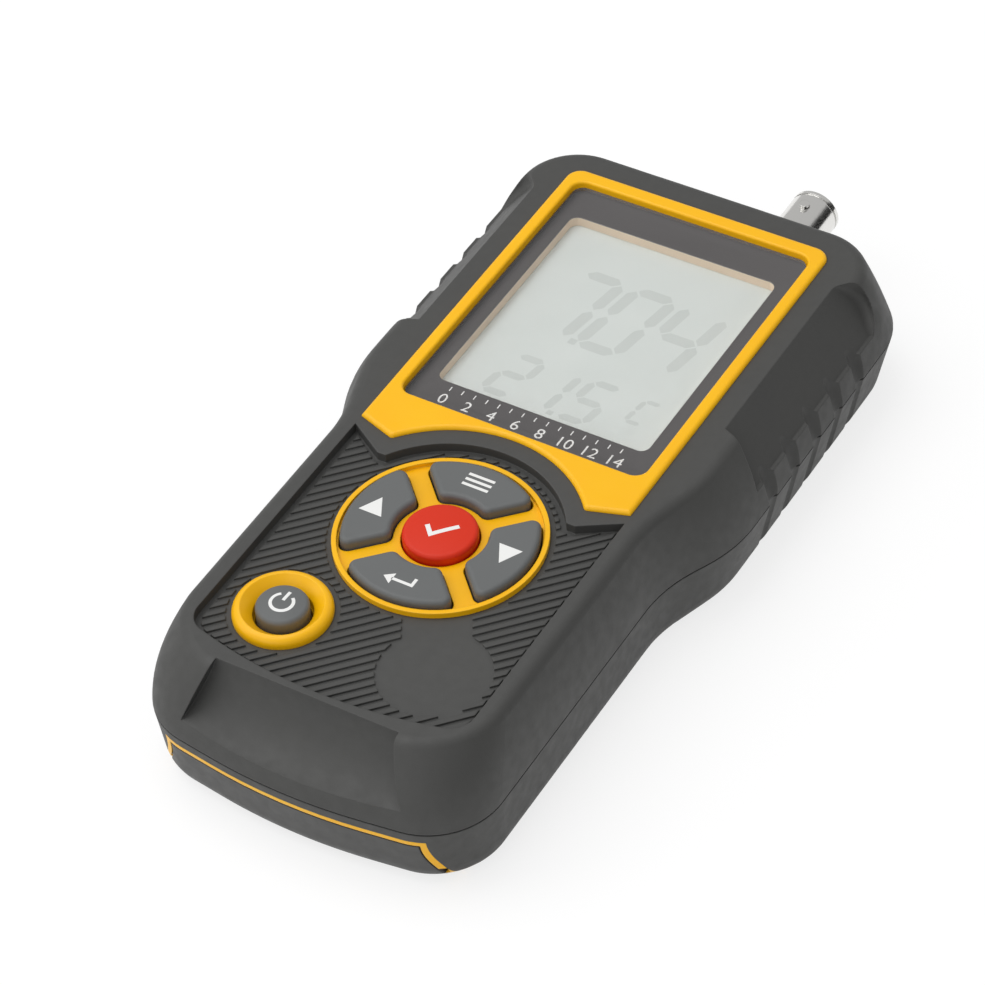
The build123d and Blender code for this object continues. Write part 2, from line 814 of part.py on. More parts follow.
with BuildPart() as rear_shell:
    loft(sections=[core_plan(core_back_z, 0), core_plan(parting_z, 0)], ruled=True)
    loft(
        sections=[core_plan(core_back_z + wall, wall), core_plan(parting_z, wall)],
        ruled=True,
        mode=Mode.SUBTRACT,
    )
    extrude(jack_disc(jack_inner_y - jack_nut_depth, jack_nut_room), amount=jack_nut_depth,
            mode=Mode.SUBTRACT)
    add(back_posts.part)
    add(door_frame.part)
    with Locations((0, (bay_low_y + bay_high_y) / 2, bay_roof_z / 2 - 1)):
        Box(2 * bay_half, bay_high_y - bay_low_y, bay_roof_z + 2, mode=Mode.SUBTRACT)
    for side in (1, -1):
        stem_x = side * (rail_x + rail_stem / 2)
        lip_x = side * (rail_x + (rail_stem + rail_lip) / 2)
        slot_length = rail_high_y + door_gap - end_y
        slot_y = rail_high_y + door_gap - slot_length / 2
        with Locations((stem_x, slot_y, (core_back_z - 1 + rail_top_z) / 2)):
            Box(rail_stem + 2 * door_gap, slot_length, rail_top_z - core_back_z + 1 + door_gap,
                mode=Mode.SUBTRACT)
        with Locations((lip_x, slot_y, rail_top_z - rail_thick / 2)):
            Box(rail_stem + rail_lip + 2 * door_gap, slot_length, rail_thick + 2 * door_gap,
                mode=Mode.SUBTRACT)
        with Locations(Location((side * terminal_x, bay_high_y + bay_wall / 2, wire_start_z), (90, 0, 0))):
            Cylinder(wire_radius + door_gap, bay_wall + 1, mode=Mode.SUBTRACT)
    for x, y in mirrored(case_screw_places):
        extrude(disc(x, y, -1, case_screw_radius + screw_fit), amount=parting_z + 2, mode=Mode.SUBTRACT)
        extrude(disc(x, y, -1, case_screw_head + screw_head_gap), amount=case_screw_seat_z + 1,
                mode=Mode.SUBTRACT)
    extrude(jack_disc(jack_inner_y - 1, jack_thread + jack_clear), amount=rim_z, mode=Mode.SUBTRACT)
    extrude(jack_disc(jack_face_y, jack_skin_hole), amount=rim_z, mode=Mode.SUBTRACT)
    extrude(seal_plan(parting_z, seal_gap), amount=-seal_half_tall, mode=Mode.SUBTRACT)
rear_shell.part.label = "rear_shell"
export_step(rear_shell.part, "parts/rear_shell.step")

# Back soft skin
with BuildPart() as rear_overmould:
    add(back_form.part)
    add(grip_grooves(groove_lean_back, -1), mode=Mode.SUBTRACT)
    loft(sections=[core_plan(core_back_z, 0), core_plan(parting_z, 0)], ruled=True, mode=Mode.SUBTRACT)
    extrude(door_profile(door_margin), amount=case_length, mode=Mode.SUBTRACT)
    for x, y in mirrored(case_screw_places):
        extrude(disc(x, y, -1, case_screw_head + screw_skin_gap), amount=parting_z, mode=Mode.SUBTRACT)
    extrude(jack_disc(jack_inner_y, jack_skin_hole), amount=rim_z, mode=Mode.SUBTRACT)
    extrude(seam_ring.sketch, amount=-seam_half, mode=Mode.SUBTRACT)
rear_overmould.part.label = "rear_overmould"
export_step(rear_overmould.part, "parts/rear_overmould.step")

# Battery door: back plate, end wall and two hooked rails
with BuildPart() as battery_door:
    extrude(door_profile(0), amount=case_length)
    add(back_form.part, mode=Mode.INTERSECT)
    loft(
        sections=[core_plan(core_back_z - door_gap, -door_gap), core_plan(parting_z, -door_gap)],
        ruled=True,
        mode=Mode.SUBTRACT,
    )
    rail_length = rail_high_y - rail_low_y
    for side in (1, -1):
        with Locations((side * (rail_x + rail_stem / 2), rail_low_y + rail_length / 2,
                        (door_thick - 0.5 + rail_top_z) / 2)):
            Box(rail_stem, rail_length, rail_top_z - door_thick + 0.5)
        with Locations((side * (rail_x + (rail_stem + rail_lip) / 2), rail_low_y + rail_length / 2,
                        rail_top_z - rail_thick / 2)):
            Box(rail_stem + rail_lip, rail_length, rail_thick)
battery_door.part.label = "battery_door"
export_step(battery_door.part, "parts/battery_door.step")

# Cord seal in a groove between the two halves, stopped at each side of the jack
with BuildPart() as case_seal:
    extrude(seal_plan(parting_z - seal_half_tall, 0), amount=2 * seal_half_tall)
    extrude(jack_disc(jack_inner_y - 1, jack_skin_hole + seal_gap), amount=rim_z, mode=Mode.SUBTRACT)
case_seal.part.label = "case_seal"
export_step(case_seal.part, "parts/case_seal.step")

# Display: clear window, dark printed frame, foam gasket, glass, light guide, rubber contact strip
# and the holder that carries them
with BuildPart() as display_window:
    extrude(panel(mask_z + mask_thick, window_y, window_width, window_length, window_corner),
            amount=window_thick)
display_window.part.label = "display_window"
export_step(display_window.part, "parts/display_window.step")

with BuildPart() as window_mask:
    extrude(panel(mask_z, window_y, window_width, window_length, window_corner), amount=mask_thick)
    extrude(panel(mask_z, window_y, view_width, view_length, view_corner), amount=mask_thick,
            mode=Mode.SUBTRACT)
window_mask.part.label = "window_mask"
export_step(window_mask.part, "parts/window_mask.step")

with BuildPart() as display_gasket:
    extrude(panel(lcd_top_z, window_y, view_width + 2 * (view_margin - gasket_fit),
                  view_length + 2 * (view_margin - gasket_fit), view_corner), amount=mask_z - lcd_top_z)
    extrude(panel(lcd_top_z, window_y, view_width, view_length, view_corner), amount=mask_z - lcd_top_z,
            mode=Mode.SUBTRACT)
display_gasket.part.label = "display_gasket"
export_step(display_gasket.part, "parts/display_gasket.step")

with BuildPart() as lcd_panel:
    extrude(panel(lcd_low_z, window_y, lcd_width, lcd_length, 0.4), amount=lcd_thick)
lcd_panel.part.label = "lcd_panel"
export_step(lcd_panel.part, "parts/lcd_panel.step")

backlight_length = lcd_length - zebra_width - 2 * zebra_space
backlight_y = window_y + (zebra_width + 2 * zebra_space) / 2
with BuildPart() as lcd_backlight:
    extrude(panel(backlight_z, backlight_y, lcd_width, backlight_length, 0.4), amount=lcd_low_z - backlight_z)
lcd_backlight.part.label = "lcd_backlight"
export_step(lcd_backlight.part, "parts/lcd_backlight.step")

zebra_y = window_y - lcd_length / 2 + zebra_space + zebra_width / 2
with BuildPart() as zebra_strip:
    with BuildSketch(Plane.XY.offset(board_top_z)):
        with Locations((0, zebra_y)):
            Rectangle(lcd_width - 2 * zebra_space, zebra_width)
    extrude(amount=lcd_low_z - board_top_z)
zebra_strip.part.label = "zebra_strip"
export_step(zebra_strip.part, "parts/zebra_strip.step")

with BuildPart() as lcd_holder:
    extrude(panel(board_top_z, window_y, holder_width, holder_length, 1.0), amount=lcd_top_z - board_top_z)
    extrude(panel(backlight_z, window_y, lcd_width + 2 * seat_gap, lcd_length + 2 * seat_gap, 0.4),
            amount=lcd_thick + backlight_z, mode=Mode.SUBTRACT)
    with BuildSketch(Plane.XY.offset(board_top_z)):
        with Locations((0, backlight_y)):
            Rectangle(lcd_width - 2 * holder_ledge, backlight_length - 2 * holder_ledge)
        with Locations((0, zebra_y)):
            Rectangle(lcd_width - zebra_space, zebra_width + zebra_space)
    extrude(amount=holder_floor, mode=Mode.SUBTRACT)
lcd_holder.part.label = "lcd_holder"
export_step(lcd_holder.part, "parts/lcd_holder.step")

# Circuit board with notches for the case bosses, its packages and the can over the electrode input
with BuildPart() as main_board:
    with BuildSketch(Plane.XY.offset(board_low_z)):
        with BuildLine():
            Polyline(
                (board_half - board_cut, board_low_y),
                (board_half, board_low_y + board_cut),
                (board_half, board_step_y),
                (board_head_half, board_step_y + 6),
                (board_head_half, board_high_y),
                (-board_head_half, board_high_y),
                (-board_head_half, board_step_y + 6),
                (-board_half, board_step_y),
                (-board_half, board_low_y + board_cut),
                (-board_half + board_cut, board_low_y),
                close=True,
            )
        make_face()
        with Locations(mirrored(case_screw_places)):
            Circle(case_boss + seat_gap, mode=Mode.SUBTRACT)
        with Locations(mirrored(board_screw_places)):
            Circle(board_screw_radius + 0.3, mode=Mode.SUBTRACT)
    extrude(amount=board_thick)
main_board.part.label = "main_board"
export_step(main_board.part, "parts/main_board.step")

with BuildPart() as board_chips:
    for x, y, width, length in chip_places:
        with Locations((x, y, board_low_z - chip_tall / 2)):
            Box(width, length, chip_tall)
board_chips.part.label = "board_chips"
export_step(board_chips.part, "parts/board_chips.step")

with BuildPart() as input_shield:
    with Locations((jack_x, shield_y, board_low_z - shield_tall / 2)):
        Box(shield_width, shield_length, shield_tall)
    fillet(input_shield.edges().filter_by(Axis.Z), 0.8)
    fillet(input_shield.edges().group_by(Axis.Z)[0], 0.5)
input_shield.part.label = "input_shield"
export_step(input_shield.part, "parts/input_shield.step")

# Silicone contact sheet on the board, and one dome under each key
with BuildPart() as keypad_mat:
    extrude(panel(board_top_z, (mat_low_y + mat_high_y) / 2, 2 * mat_half, mat_high_y - mat_low_y, 2.0),
            amount=mat_thick)
keypad_mat.part.label = "keypad_mat"
export_step(keypad_mat.part, "parts/keypad_mat.step")

for name, turn in sector_turns.items():
    with BuildPart() as dome:
        extrude(sector_plan(mat_top_z, turn, -dome_inset), amount=key_foot_z - mat_top_z)
    dome.part.label = f"{name}_dome"
    export_step(dome.part, f"parts/{name}_dome.step")
    with BuildPart() as key:
        extrude(sector_plan(key_foot_z, turn), amount=key_top_z - key_foot_z)
        fillet(key.edges().group_by(Axis.Z)[-1], key_crown)
        extrude(sector_plan(key_foot_z, turn, key_flange), amount=key_flange_thick)
    key.part.label = f"{name}_key"
    export_step(key.part, f"parts/{name}_key.step")

for name, x, y, radius in (("enter", 0, ring_y, enter_radius), ("power", power_x, power_y, power_key_radius)):
    with BuildPart() as round_dome:
        extrude(disc(x, y, mat_top_z, radius - dome_inset), amount=key_foot_z - mat_top_z, taper=20)
    round_dome.part.label = f"{name}_dome"
    export_step(round_dome.part, f"parts/{name}_dome.step")
    cap_half = radius - key_crown
    cap_radius = (cap_half**2 + round_key_rise**2) / (2 * round_key_rise)
    cap_drop = cap_radius - sqrt(cap_radius**2 - (cap_half / 2) ** 2)
    with BuildPart() as round_key:
        with BuildSketch(Plane(origin=(x, y, 0), x_dir=(1, 0, 0), z_dir=(0, -1, 0))):
            with BuildLine():
                Polyline(
                    (0, key_top_z + round_key_rise),
                    (0, key_foot_z),
                    (radius + key_flange, key_foot_z),
                    (radius + key_flange, key_foot_z + key_flange_thick),
                    (radius, key_foot_z + key_flange_thick),
                    (radius, key_top_z - key_crown),
                )
                JernArc((radius, key_top_z - key_crown), (0, 1), key_crown, 90)
                ThreePointArc(
                    (cap_half, key_top_z),
                    (cap_half / 2, key_top_z + round_key_rise - cap_drop),
                    (0, key_top_z + round_key_rise),
                )
            make_face()
        revolve(axis=Axis((x, y, 0), (0, 0, 1)))
    round_key.part.label = f"{name}_key"
    export_step(round_key.part, f"parts/{name}_key.step")

# Signal jack, from the barrel with its two lugs to the nut inside the case
with BuildPart() as bnc_shell:
    extrude(jack_disc(jack_flange_y, jack_flange), amount=jack_flange_thick)
    extrude(jack_disc(jack_thread_y, jack_thread), amount=jack_flange_y - jack_thread_y)
    extrude(jack_disc(jack_shoulder_y, jack_barrel), amount=jack_tip_y - jack_shoulder_y)
    with BuildSketch(Plane.XY.offset(jack_z - jack_lug_reach)):
        with Locations((jack_x, jack_lug_y)):
            Circle(jack_lug_radius)
    extrude(amount=2 * jack_lug_reach)
    chamfer(bnc_shell.edges().group_by(Axis.Y)[-1], 0.5)
    with BuildSketch(jack_plane(jack_face_y + jack_ring)):
        Circle(jack_barrel + 1.0)
        Circle(jack_barrel - jack_ring_deep, mode=Mode.SUBTRACT)
    extrude(amount=jack_ring_wide, mode=Mode.SUBTRACT)
    extrude(jack_disc(jack_floor_y, jack_bore), amount=jack_tip_y, mode=Mode.SUBTRACT)
    extrude(jack_disc(jack_thread_y - 1, jack_tail_bore), amount=jack_tip_y, mode=Mode.SUBTRACT)
bnc_shell.part.label = "bnc_shell"
export_step(bnc_shell.part, "parts/bnc_shell.step")

with BuildPart() as bnc_insulator:
    extrude(jack_disc(jack_thread_y, jack_tail_bore - jack_fit), amount=jack_nose_y - jack_thread_y)
    extrude(jack_disc(jack_floor_y, jack_bore - jack_fit), amount=jack_collar)
    extrude(jack_disc(jack_thread_y - 1, jack_contact + jack_fit), amount=jack_tip_y, mode=Mode.SUBTRACT)
bnc_insulator.part.label = "bnc_insulator"
export_step(bnc_insulator.part, "parts/bnc_insulator.step")

with BuildPart() as bnc_contact:
    extrude(jack_disc(jack_tail_y, jack_contact), amount=jack_nose_y - 0.5 - jack_tail_y)
    extrude(jack_disc(jack_nose_y - 6, jack_contact_bore), amount=jack_tip_y, mode=Mode.SUBTRACT)
bnc_contact.part.label = "bnc_contact"
export_step(bnc_contact.part, "parts/bnc_contact.step")

with BuildPart() as bnc_gasket:
    extrude(jack_disc(jack_face_y, jack_flange), amount=gasket_thick)
    extrude(jack_disc(jack_face_y, jack_thread + jack_clear), amount=gasket_thick, mode=Mode.SUBTRACT)
bnc_gasket.part.label = "bnc_gasket"
export_step(bnc_gasket.part, "parts/bnc_gasket.step")

with BuildPart() as bnc_washer:
    extrude(jack_disc(jack_inner_y - washer_thick, nut_half_flat + 0.4), amount=washer_thick)
    extrude(jack_disc(jack_inner_y - washer_thick, jack_thread + jack_clear), amount=washer_thick,
            mode=Mode.SUBTRACT)
bnc_washer.part.label = "bnc_washer"
export_step(bnc_washer.part, "parts/bnc_washer.step")

with BuildPart() as bnc_nut:
    with BuildSketch(jack_plane(jack_inner_y - washer_thick - nut_thick)):
        RegularPolygon(nut_half_flat, 6, major_radius=False)
        Circle(jack_thread + jack_fit, mode=Mode.SUBTRACT)
    extrude(amount=nut_thick)
bnc_nut.part.label = "bnc_nut"
export_step(bnc_nut.part, "parts/bnc_nut.step")

# Screened lead from the jack to the board, laid along the board's underside where it is soldered
lead_low_z = board_low_z - lead_radius
shield_end_y = shield_y + shield_length / 2
lead_points = [
    (jack_x, jack_tail_y, jack_z),
    (jack_x, jack_tail_y - 5, jack_z),
    (jack_x, shield_end_y + 5.5, lead_low_z),
    (jack_x, shield_end_y + seat_gap, lead_low_z),
]
with BuildPart() as bnc_lead:
    with BuildLine() as lead_path:
        FilletPolyline(*lead_points, radius=lead_bend)
    with BuildSketch(Plane(origin=lead_points[0], z_dir=(0, -1, 0))):
        Circle(lead_radius)
    sweep(path=lead_path.wires()[0])
bnc_lead.part.label = "bnc_lead"
export_step(bnc_lead.part, "parts/bnc_lead.step")
lead_length = lead_path.wires()[0].length
lead_volume = pi * lead_radius**2 * lead_length
print(f"bnc_lead: bends {lead_bend} mm, length {lead_length:.1f} mm")
print(f"bnc_lead: volume {bnc_lead.part.volume:.2f} mm3 of {lead_volume:.2f} mm3")

# Battery cells side by side, turned end for end
for index in range(cell_count):
    facing = 1 if index % 2 == 0 else -1
    x = (index - (cell_count - 1) / 2) * cell_pitch
    y = bay_high_y - contact_thick - cell_length if facing == 1 else bay_low_y + contact_thick + cell_length
    with BuildPart() as cell:
        with BuildSketch(Plane(origin=(x, y, cell_z), x_dir=(1, 0, 0), z_dir=(0, facing, 0))):
            Circle(cell_radius)
        extrude(amount=cell_length - cell_nub_tall)
        chamfer(cell.edges(), 0.4)
        with BuildSketch(Plane(origin=(x, y, cell_z), x_dir=(1, 0, 0), z_dir=(0, facing, 0))):
            Circle(cell_nub_radius)
        extrude(amount=cell_length)
    cell.part.label = f"battery_cell_{index + 1}"
    export_step(cell.part, f"parts/battery_cell_{index + 1}.step")

# Battery contacts: bowed springs at the flat ends, plates at the raised ends
with BuildPart() as battery_springs:
    for index in range(cell_count):
        facing = 1 if index % 2 == 0 else -1
        x = (index - (cell_count - 1) / 2) * cell_pitch
        wall_y = bay_low_y if facing == 1 else bay_high_y
        bow = spring_reach * facing
        with BuildSketch(Plane.XY.offset(cell_z - spring_width / 2)):
            with BuildLine():
                Polyline(
                    (x - spring_half, wall_y),
                    (x, wall_y + bow),
                    (x + spring_half, wall_y),
                    (x + spring_half - contact_thick * 1.5, wall_y),
                    (x, wall_y + bow - contact_thick * 1.5 * facing),
                    (x - spring_half + contact_thick * 1.5, wall_y),
                    close=True,
                )
            make_face()
        extrude(amount=spring_width)
battery_springs.part.label = "battery_springs"
export_step(battery_springs.part, "parts/battery_springs.step")

with BuildPart() as battery_plates:
    for index in range(cell_count):
        facing = 1 if index % 2 == 0 else -1
        x = (index - (cell_count - 1) / 2) * cell_pitch
        wall_y = bay_high_y if facing == 1 else bay_low_y
        with Locations((x, wall_y - facing * contact_thick / 2, cell_z)):
            Box(2 * spring_half, contact_thick, spring_width)
battery_plates.part.label = "battery_plates"
export_step(battery_plates.part, "parts/battery_plates.step")

# Two wires from the end contacts, through the bay's wall and up to the board
with BuildPart() as battery_leads:
    for side in (1, -1):
        x = side * terminal_x
        wire_points = [(x, bay_high_y, wire_start_z), (x, bay_high_y + wire_run, wire_start_z),
                       (x, bay_high_y + wire_run, board_low_z)]
        with BuildLine() as wire_path:
            FilletPolyline(*wire_points, radius=wire_bend)
        with BuildSketch(Plane(origin=wire_points[0], z_dir=(0, 1, 0))):
            Circle(wire_radius)
        sweep(path=wire_path.wires()[-1])
battery_leads.part.label = "battery_leads"
export_step(battery_leads.part, "parts/battery_leads.step")
print(f"battery_leads: bends {wire_bend} mm, volume {battery_leads.part.volume:.2f}")

# Screws: four through the back into the front bosses, four under the board
with BuildPart() as case_screws:
    for x, y in mirrored(case_screw_places):
        extrude(disc(x, y, case_screw_seat_z - case_screw_head_tall, case_screw_head),
                amount=case_screw_head_tall)
        extrude(disc(x, y, case_screw_seat_z, case_screw_radius), amount=case_screw_top_z - case_screw_seat_z)
case_screws.part.label = "case_screws"
export_step(case_screws.part, "parts/case_screws.step")

with BuildPart() as board_screws:
    for x, y in mirrored(board_screw_places):
        extrude(disc(x, y, board_low_z - board_screw_head_tall, board_screw_head),
                amount=board_screw_head_tall)
        extrude(disc(x, y, board_low_z, board_screw_radius), amount=board_screw_top_z - board_low_z)
board_screws.part.label = "board_screws"
export_step(board_screws.part, "parts/board_screws.step")
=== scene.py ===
import math

import bmesh
import bpy
from mathutils import Matrix, Quaternion, Vector
from mathutils.bvhtree import BVHTree


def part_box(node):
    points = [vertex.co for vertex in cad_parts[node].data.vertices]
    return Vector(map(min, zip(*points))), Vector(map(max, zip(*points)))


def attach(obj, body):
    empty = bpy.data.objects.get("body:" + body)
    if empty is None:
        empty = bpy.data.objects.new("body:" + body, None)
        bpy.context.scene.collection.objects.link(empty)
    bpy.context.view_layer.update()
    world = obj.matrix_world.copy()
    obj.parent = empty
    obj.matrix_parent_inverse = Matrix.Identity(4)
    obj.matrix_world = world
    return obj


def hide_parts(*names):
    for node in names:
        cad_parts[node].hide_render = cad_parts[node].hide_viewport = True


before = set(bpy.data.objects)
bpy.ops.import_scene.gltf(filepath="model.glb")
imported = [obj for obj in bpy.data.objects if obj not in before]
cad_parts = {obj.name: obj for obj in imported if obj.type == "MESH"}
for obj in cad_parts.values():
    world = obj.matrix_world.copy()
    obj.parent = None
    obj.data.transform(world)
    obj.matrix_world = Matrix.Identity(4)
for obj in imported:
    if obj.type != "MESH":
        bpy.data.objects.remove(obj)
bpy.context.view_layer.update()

MM = 0.001

# The view of the photograph: the meter lies on its back and is seen from its lower right corner.
# The camera's place and aim are in the meter's own frame, and the roll is the photograph's small tilt.
camera_place = Vector((0.26368, -0.40656, 0.49189))
camera_aim = Vector((0.00370, -0.01394, 0.02944))
camera_roll = math.radians(-4.32)
camera_lens = 139.31

camera_data = bpy.data.cameras.new("view_camera")
camera_data.lens = camera_lens
camera_data.clip_start = 0.05
camera_data.clip_end = 20.0
camera = bpy.data.objects.new("view_camera", camera_data)
camera.location = camera_place
camera.rotation_mode = "QUATERNION"
facing = (camera_aim - camera_place).to_track_quat("-Z", "Y")
camera.rotation_quaternion = facing @ Quaternion((0.0, 0.0, 1.0), camera_roll)
bpy.context.scene.collection.objects.link(camera)
bpy.context.scene.camera = camera
bpy.context.scene.view_settings.view_transform = "Standard"


# The table and the light tent: a pale matt sweep, one large softbox overhead and two weak fills.
# The tent shows as plain white to the eye, in glass and in metal, and the table keeps the meter's shadow.
def linear(code):
    """The colour of an sRGB hex code, in linear light."""
    channels = [int(code[start : start + 2], 16) / 255 for start in (1, 3, 5)]
    return (*[c / 12.92 if c <= 0.04045 else ((c + 0.055) / 1.055) ** 2.4 for c in channels], 1.0)


def add_node(tree, kind, values=None, links=None, **settings):
    """Adds a node with its settings, its plain input values and its incoming links."""
    node = tree.nodes.new(kind)
    for name, value in settings.items():
        setattr(node, name, value)
    for name, value in (values or {}).items():
        node.inputs[name].default_value = value
    for name, socket in (links or {}).items():
        tree.links.new(socket, node.inputs[name])
    return node


def seen_rays(tree):
    """One for a ray that reaches the eye straight, by reflection or through glass, and else nought."""
    path = add_node(tree, "ShaderNodeLightPath")
    either = add_node(tree, "ShaderNodeMath", links={0: path.outputs["Is Camera Ray"],
                                                     1: path.outputs["Is Glossy Ray"]}, operation="MAXIMUM")
    return add_node(tree, "ShaderNodeMath", links={0: either.outputs[0],
                                                   1: path.outputs["Is Transmission Ray"]},
                    operation="MAXIMUM").outputs[0]


tent_light = 0.57
world = bpy.data.worlds.new("light_tent")
world.use_nodes = True
world.node_tree.nodes.clear()
tent = add_node(world.node_tree, "ShaderNodeMix", {2: tent_light, 3: 1.0},
                {0: add_node(world.node_tree, "ShaderNodeLightPath").outputs["Is Camera Ray"]},
                data_type="FLOAT")
background = add_node(world.node_tree, "ShaderNodeBackground", {"Color": linear("#FFFFFF")},
                      {"Strength": tent.outputs[0]})
add_node(world.node_tree, "ShaderNodeOutputWorld", links={"Surface": background.outputs[0]})
bpy.context.scene.world = world

table_reach = 3.0
table_shade = "#8E8E8E"
table_glow = 0.76
table_drop = 0.02
table_mesh = bpy.data.meshes.new("table")
table_mesh.from_pydata(
    [(x * table_reach, y * table_reach, -table_drop * MM) for x, y in ((-1, -1), (1, -1), (1, 1), (-1, 1))],
    [],
    [(0, 1, 2, 3)],
)
table = bpy.data.objects.new("table", table_mesh)
bpy.context.scene.collection.objects.link(table)
paper = bpy.data.materials.new("matt_paper")
paper.use_nodes = True
paper.node_tree.nodes.clear()
seen = seen_rays(paper.node_tree)
paper_colour = add_node(paper.node_tree, "ShaderNodeMix", {6: linear("#E8E8E8"), 7: linear(table_shade)},
                        {0: seen}, data_type="RGBA")
paper_face = add_node(paper.node_tree, "ShaderNodeBsdfDiffuse", links={"Color": paper_colour.outputs[2]})
glow_level = add_node(paper.node_tree, "ShaderNodeMath", {1: table_glow}, {0: seen}, operation="MULTIPLY")
paper_glow = add_node(paper.node_tree, "ShaderNodeEmission", links={"Strength": glow_level.outputs[0]})
paper_sum = add_node(paper.node_tree, "ShaderNodeAddShader", links={0: paper_face.outputs[0],
                                                                    1: paper_glow.outputs[0]})
from_below = add_node(paper.node_tree, "ShaderNodeNewGeometry").outputs["Backfacing"]
nothing = add_node(paper.node_tree, "ShaderNodeBsdfTransparent")
paper_side = add_node(paper.node_tree, "ShaderNodeMixShader", links={0: from_below, 1: paper_sum.outputs[0],
                                                                    2: nothing.outputs[0]})
add_node(paper.node_tree, "ShaderNodeOutputMaterial", links={"Surface": paper_side.outputs[0]})
table_mesh.materials.append(paper)

# A flag of black cloth that stands to the right of the meter and gives the jack its dark side.
# Only glossy reflections see it: it throws no shadow and doesn't show.
flag_x = 0.7
flag_half = 0.9
flag_tall = 0.75
flag_mesh = bpy.data.meshes.new("dark_flag")
flag_mesh.from_pydata(
    [(flag_x, y * flag_half, z * flag_tall) for y, z in ((-1, 0), (1, 0), (1, 1), (-1, 1))],
    [],
    [(0, 1, 2, 3)],
)
flag = bpy.data.objects.new("dark_flag", flag_mesh)
bpy.context.scene.collection.objects.link(flag)
flag.visible_camera = False
flag.visible_diffuse = False
flag.visible_shadow = False
flag.visible_transmission = False
black_cloth = bpy.data.materials.new("black_cloth")
black_cloth.use_nodes = True
black_cloth.node_tree.nodes.clear()
cloth_face = add_node(black_cloth.node_tree, "ShaderNodeBsdfDiffuse", {"Color": linear("#2A2A2A")})
add_node(black_cloth.node_tree, "ShaderNodeOutputMaterial", links={"Surface": cloth_face.outputs[0]})
flag_mesh.materials.append(black_cloth)

softboxes = {
    "softbox_top": ((-0.35, -0.05, 1.0), 0.9, 5.0),
    "fill_left": ((-1.0, -0.5, 0.6), 0.8, 1.6),
    "fill_front": ((-0.1, -1.2, 0.7), 0.8, 1.7),
}
for name, (place, size, power) in softboxes.items():
    lamp_data = bpy.data.lights.new(name, "AREA")
    lamp_data.size = size
    lamp_data.energy = power
    lamp = bpy.data.objects.new(name, lamp_data)
    lamp.location = place
    lamp.rotation_euler = (-Vector(place)).to_track_quat("-Z", "Y").to_euler()
    bpy.context.scene.collection.objects.link(lamp)


# Back half of the hard housing, injection moulded in orange ABS with its battery bay and door frame.
# It shows as the thin bright line round the battery door, and inside the bay when the door is off.
def start_material(name, values):
    """A material with one shader on its surface, with that shader's plain values."""
    material = bpy.data.materials.new(name)
    material.use_nodes = True
    tree = material.node_tree
    tree.nodes.clear()
    shader = add_node(tree, "ShaderNodeBsdfPrincipled", values)
    add_node(tree, "ShaderNodeOutputMaterial", links={"Surface": shader.outputs[0]})
    return material, tree, shader


def moulded(name, main, shade, roughness, grain, depth, edge, wear_and_highlight, ior, gloss=0.5):
    """A moulded surface: random blotches of a second tone, an eroded grain, softened edges, and edges painted
    lighter, part wear and part painted highlight.
    Grain, its depth and the edge's radius are in millimetres, and gloss is half for full reflection."""
    material, tree, shader = start_material(
        name, {"Roughness": roughness, "IOR": ior, "Specular IOR Level": gloss}
    )
    blotch_size = 14
    scuff_size = 2.2
    place = add_node(tree, "ShaderNodeTexCoord").outputs["Object"]
    blotch = add_node(tree, "ShaderNodeTexNoise", {"Scale": 1 / (blotch_size * MM), "Detail": 4.0},
                      {"Vector": place})
    tint = add_node(tree, "ShaderNodeMix", {6: linear(main), 7: linear(shade)}, {0: blotch.outputs[0]},
                    data_type="RGBA")
    soft_edge = add_node(tree, "ShaderNodeBevel", {"Radius": edge * MM}, samples=6)
    true_face = add_node(tree, "ShaderNodeNewGeometry")
    same_way = add_node(tree, "ShaderNodeVectorMath", links={0: soft_edge.outputs[0],
                                                             1: true_face.outputs["Normal"]},
                        operation="DOT_PRODUCT")
    edge_mask = add_node(tree, "ShaderNodeMapRange", {1: 0.985, 2: 0.80, 3: 0.0, 4: 1.0},
                         {0: same_way.outputs["Value"]})
    scuffs = add_node(tree, "ShaderNodeTexNoise", {"Scale": 1 / (scuff_size * MM), "Detail": 3.0},
                      {"Vector": place})
    # Edges are painted lighter in scuffed patches: part rub wear, part painted highlight where the edges catch
    # the light.
    rubbed_and_lit = add_node(tree, "ShaderNodeMath", links={0: edge_mask.outputs[0], 1: scuffs.outputs[0]},
                    operation="MULTIPLY")
    rubbed_and_lit_colour = add_node(tree, "ShaderNodeMix", {7: linear(wear_and_highlight)}, {0: rubbed_and_lit.outputs[0], 6: tint.outputs[2]},
                           data_type="RGBA")
    tree.links.new(rubbed_and_lit_colour.outputs[2], shader.inputs["Base Color"])
    sheen_patches = add_node(tree, "ShaderNodeMapRange", {1: 0.3, 2: 0.7, 3: roughness - 0.05,
                                                          4: roughness + 0.06}, {0: scuffs.outputs[0]})
    tree.links.new(sheen_patches.outputs[0], shader.inputs["Roughness"])
    pits = add_node(tree, "ShaderNodeTexNoise", {"Scale": 1 / (grain * MM), "Detail": 2.0}, {"Vector": place})
    relief = add_node(tree, "ShaderNodeBump", {"Strength": 1.0, "Distance": depth * MM},
                      {"Height": pits.outputs[0], "Normal": soft_edge.outputs[0]})
    tree.links.new(relief.outputs[0], shader.inputs["Normal"])
    return material


def dress(material, *names):
    """Gives a material to the named pieces of the meter."""
    for name in names:
        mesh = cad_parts[name].data
        if not mesh.materials:
            mesh.materials.append(material)
        for index in range(len(mesh.materials)):
            mesh.materials[index] = material


orange_abs = moulded("orange_abs", "#FFC500", "#FFB800", 0.34, 0.30, 0.002, 0.30, "#FFD03C", 1.53, 0.35)
dress(orange_abs, "rear_shell")
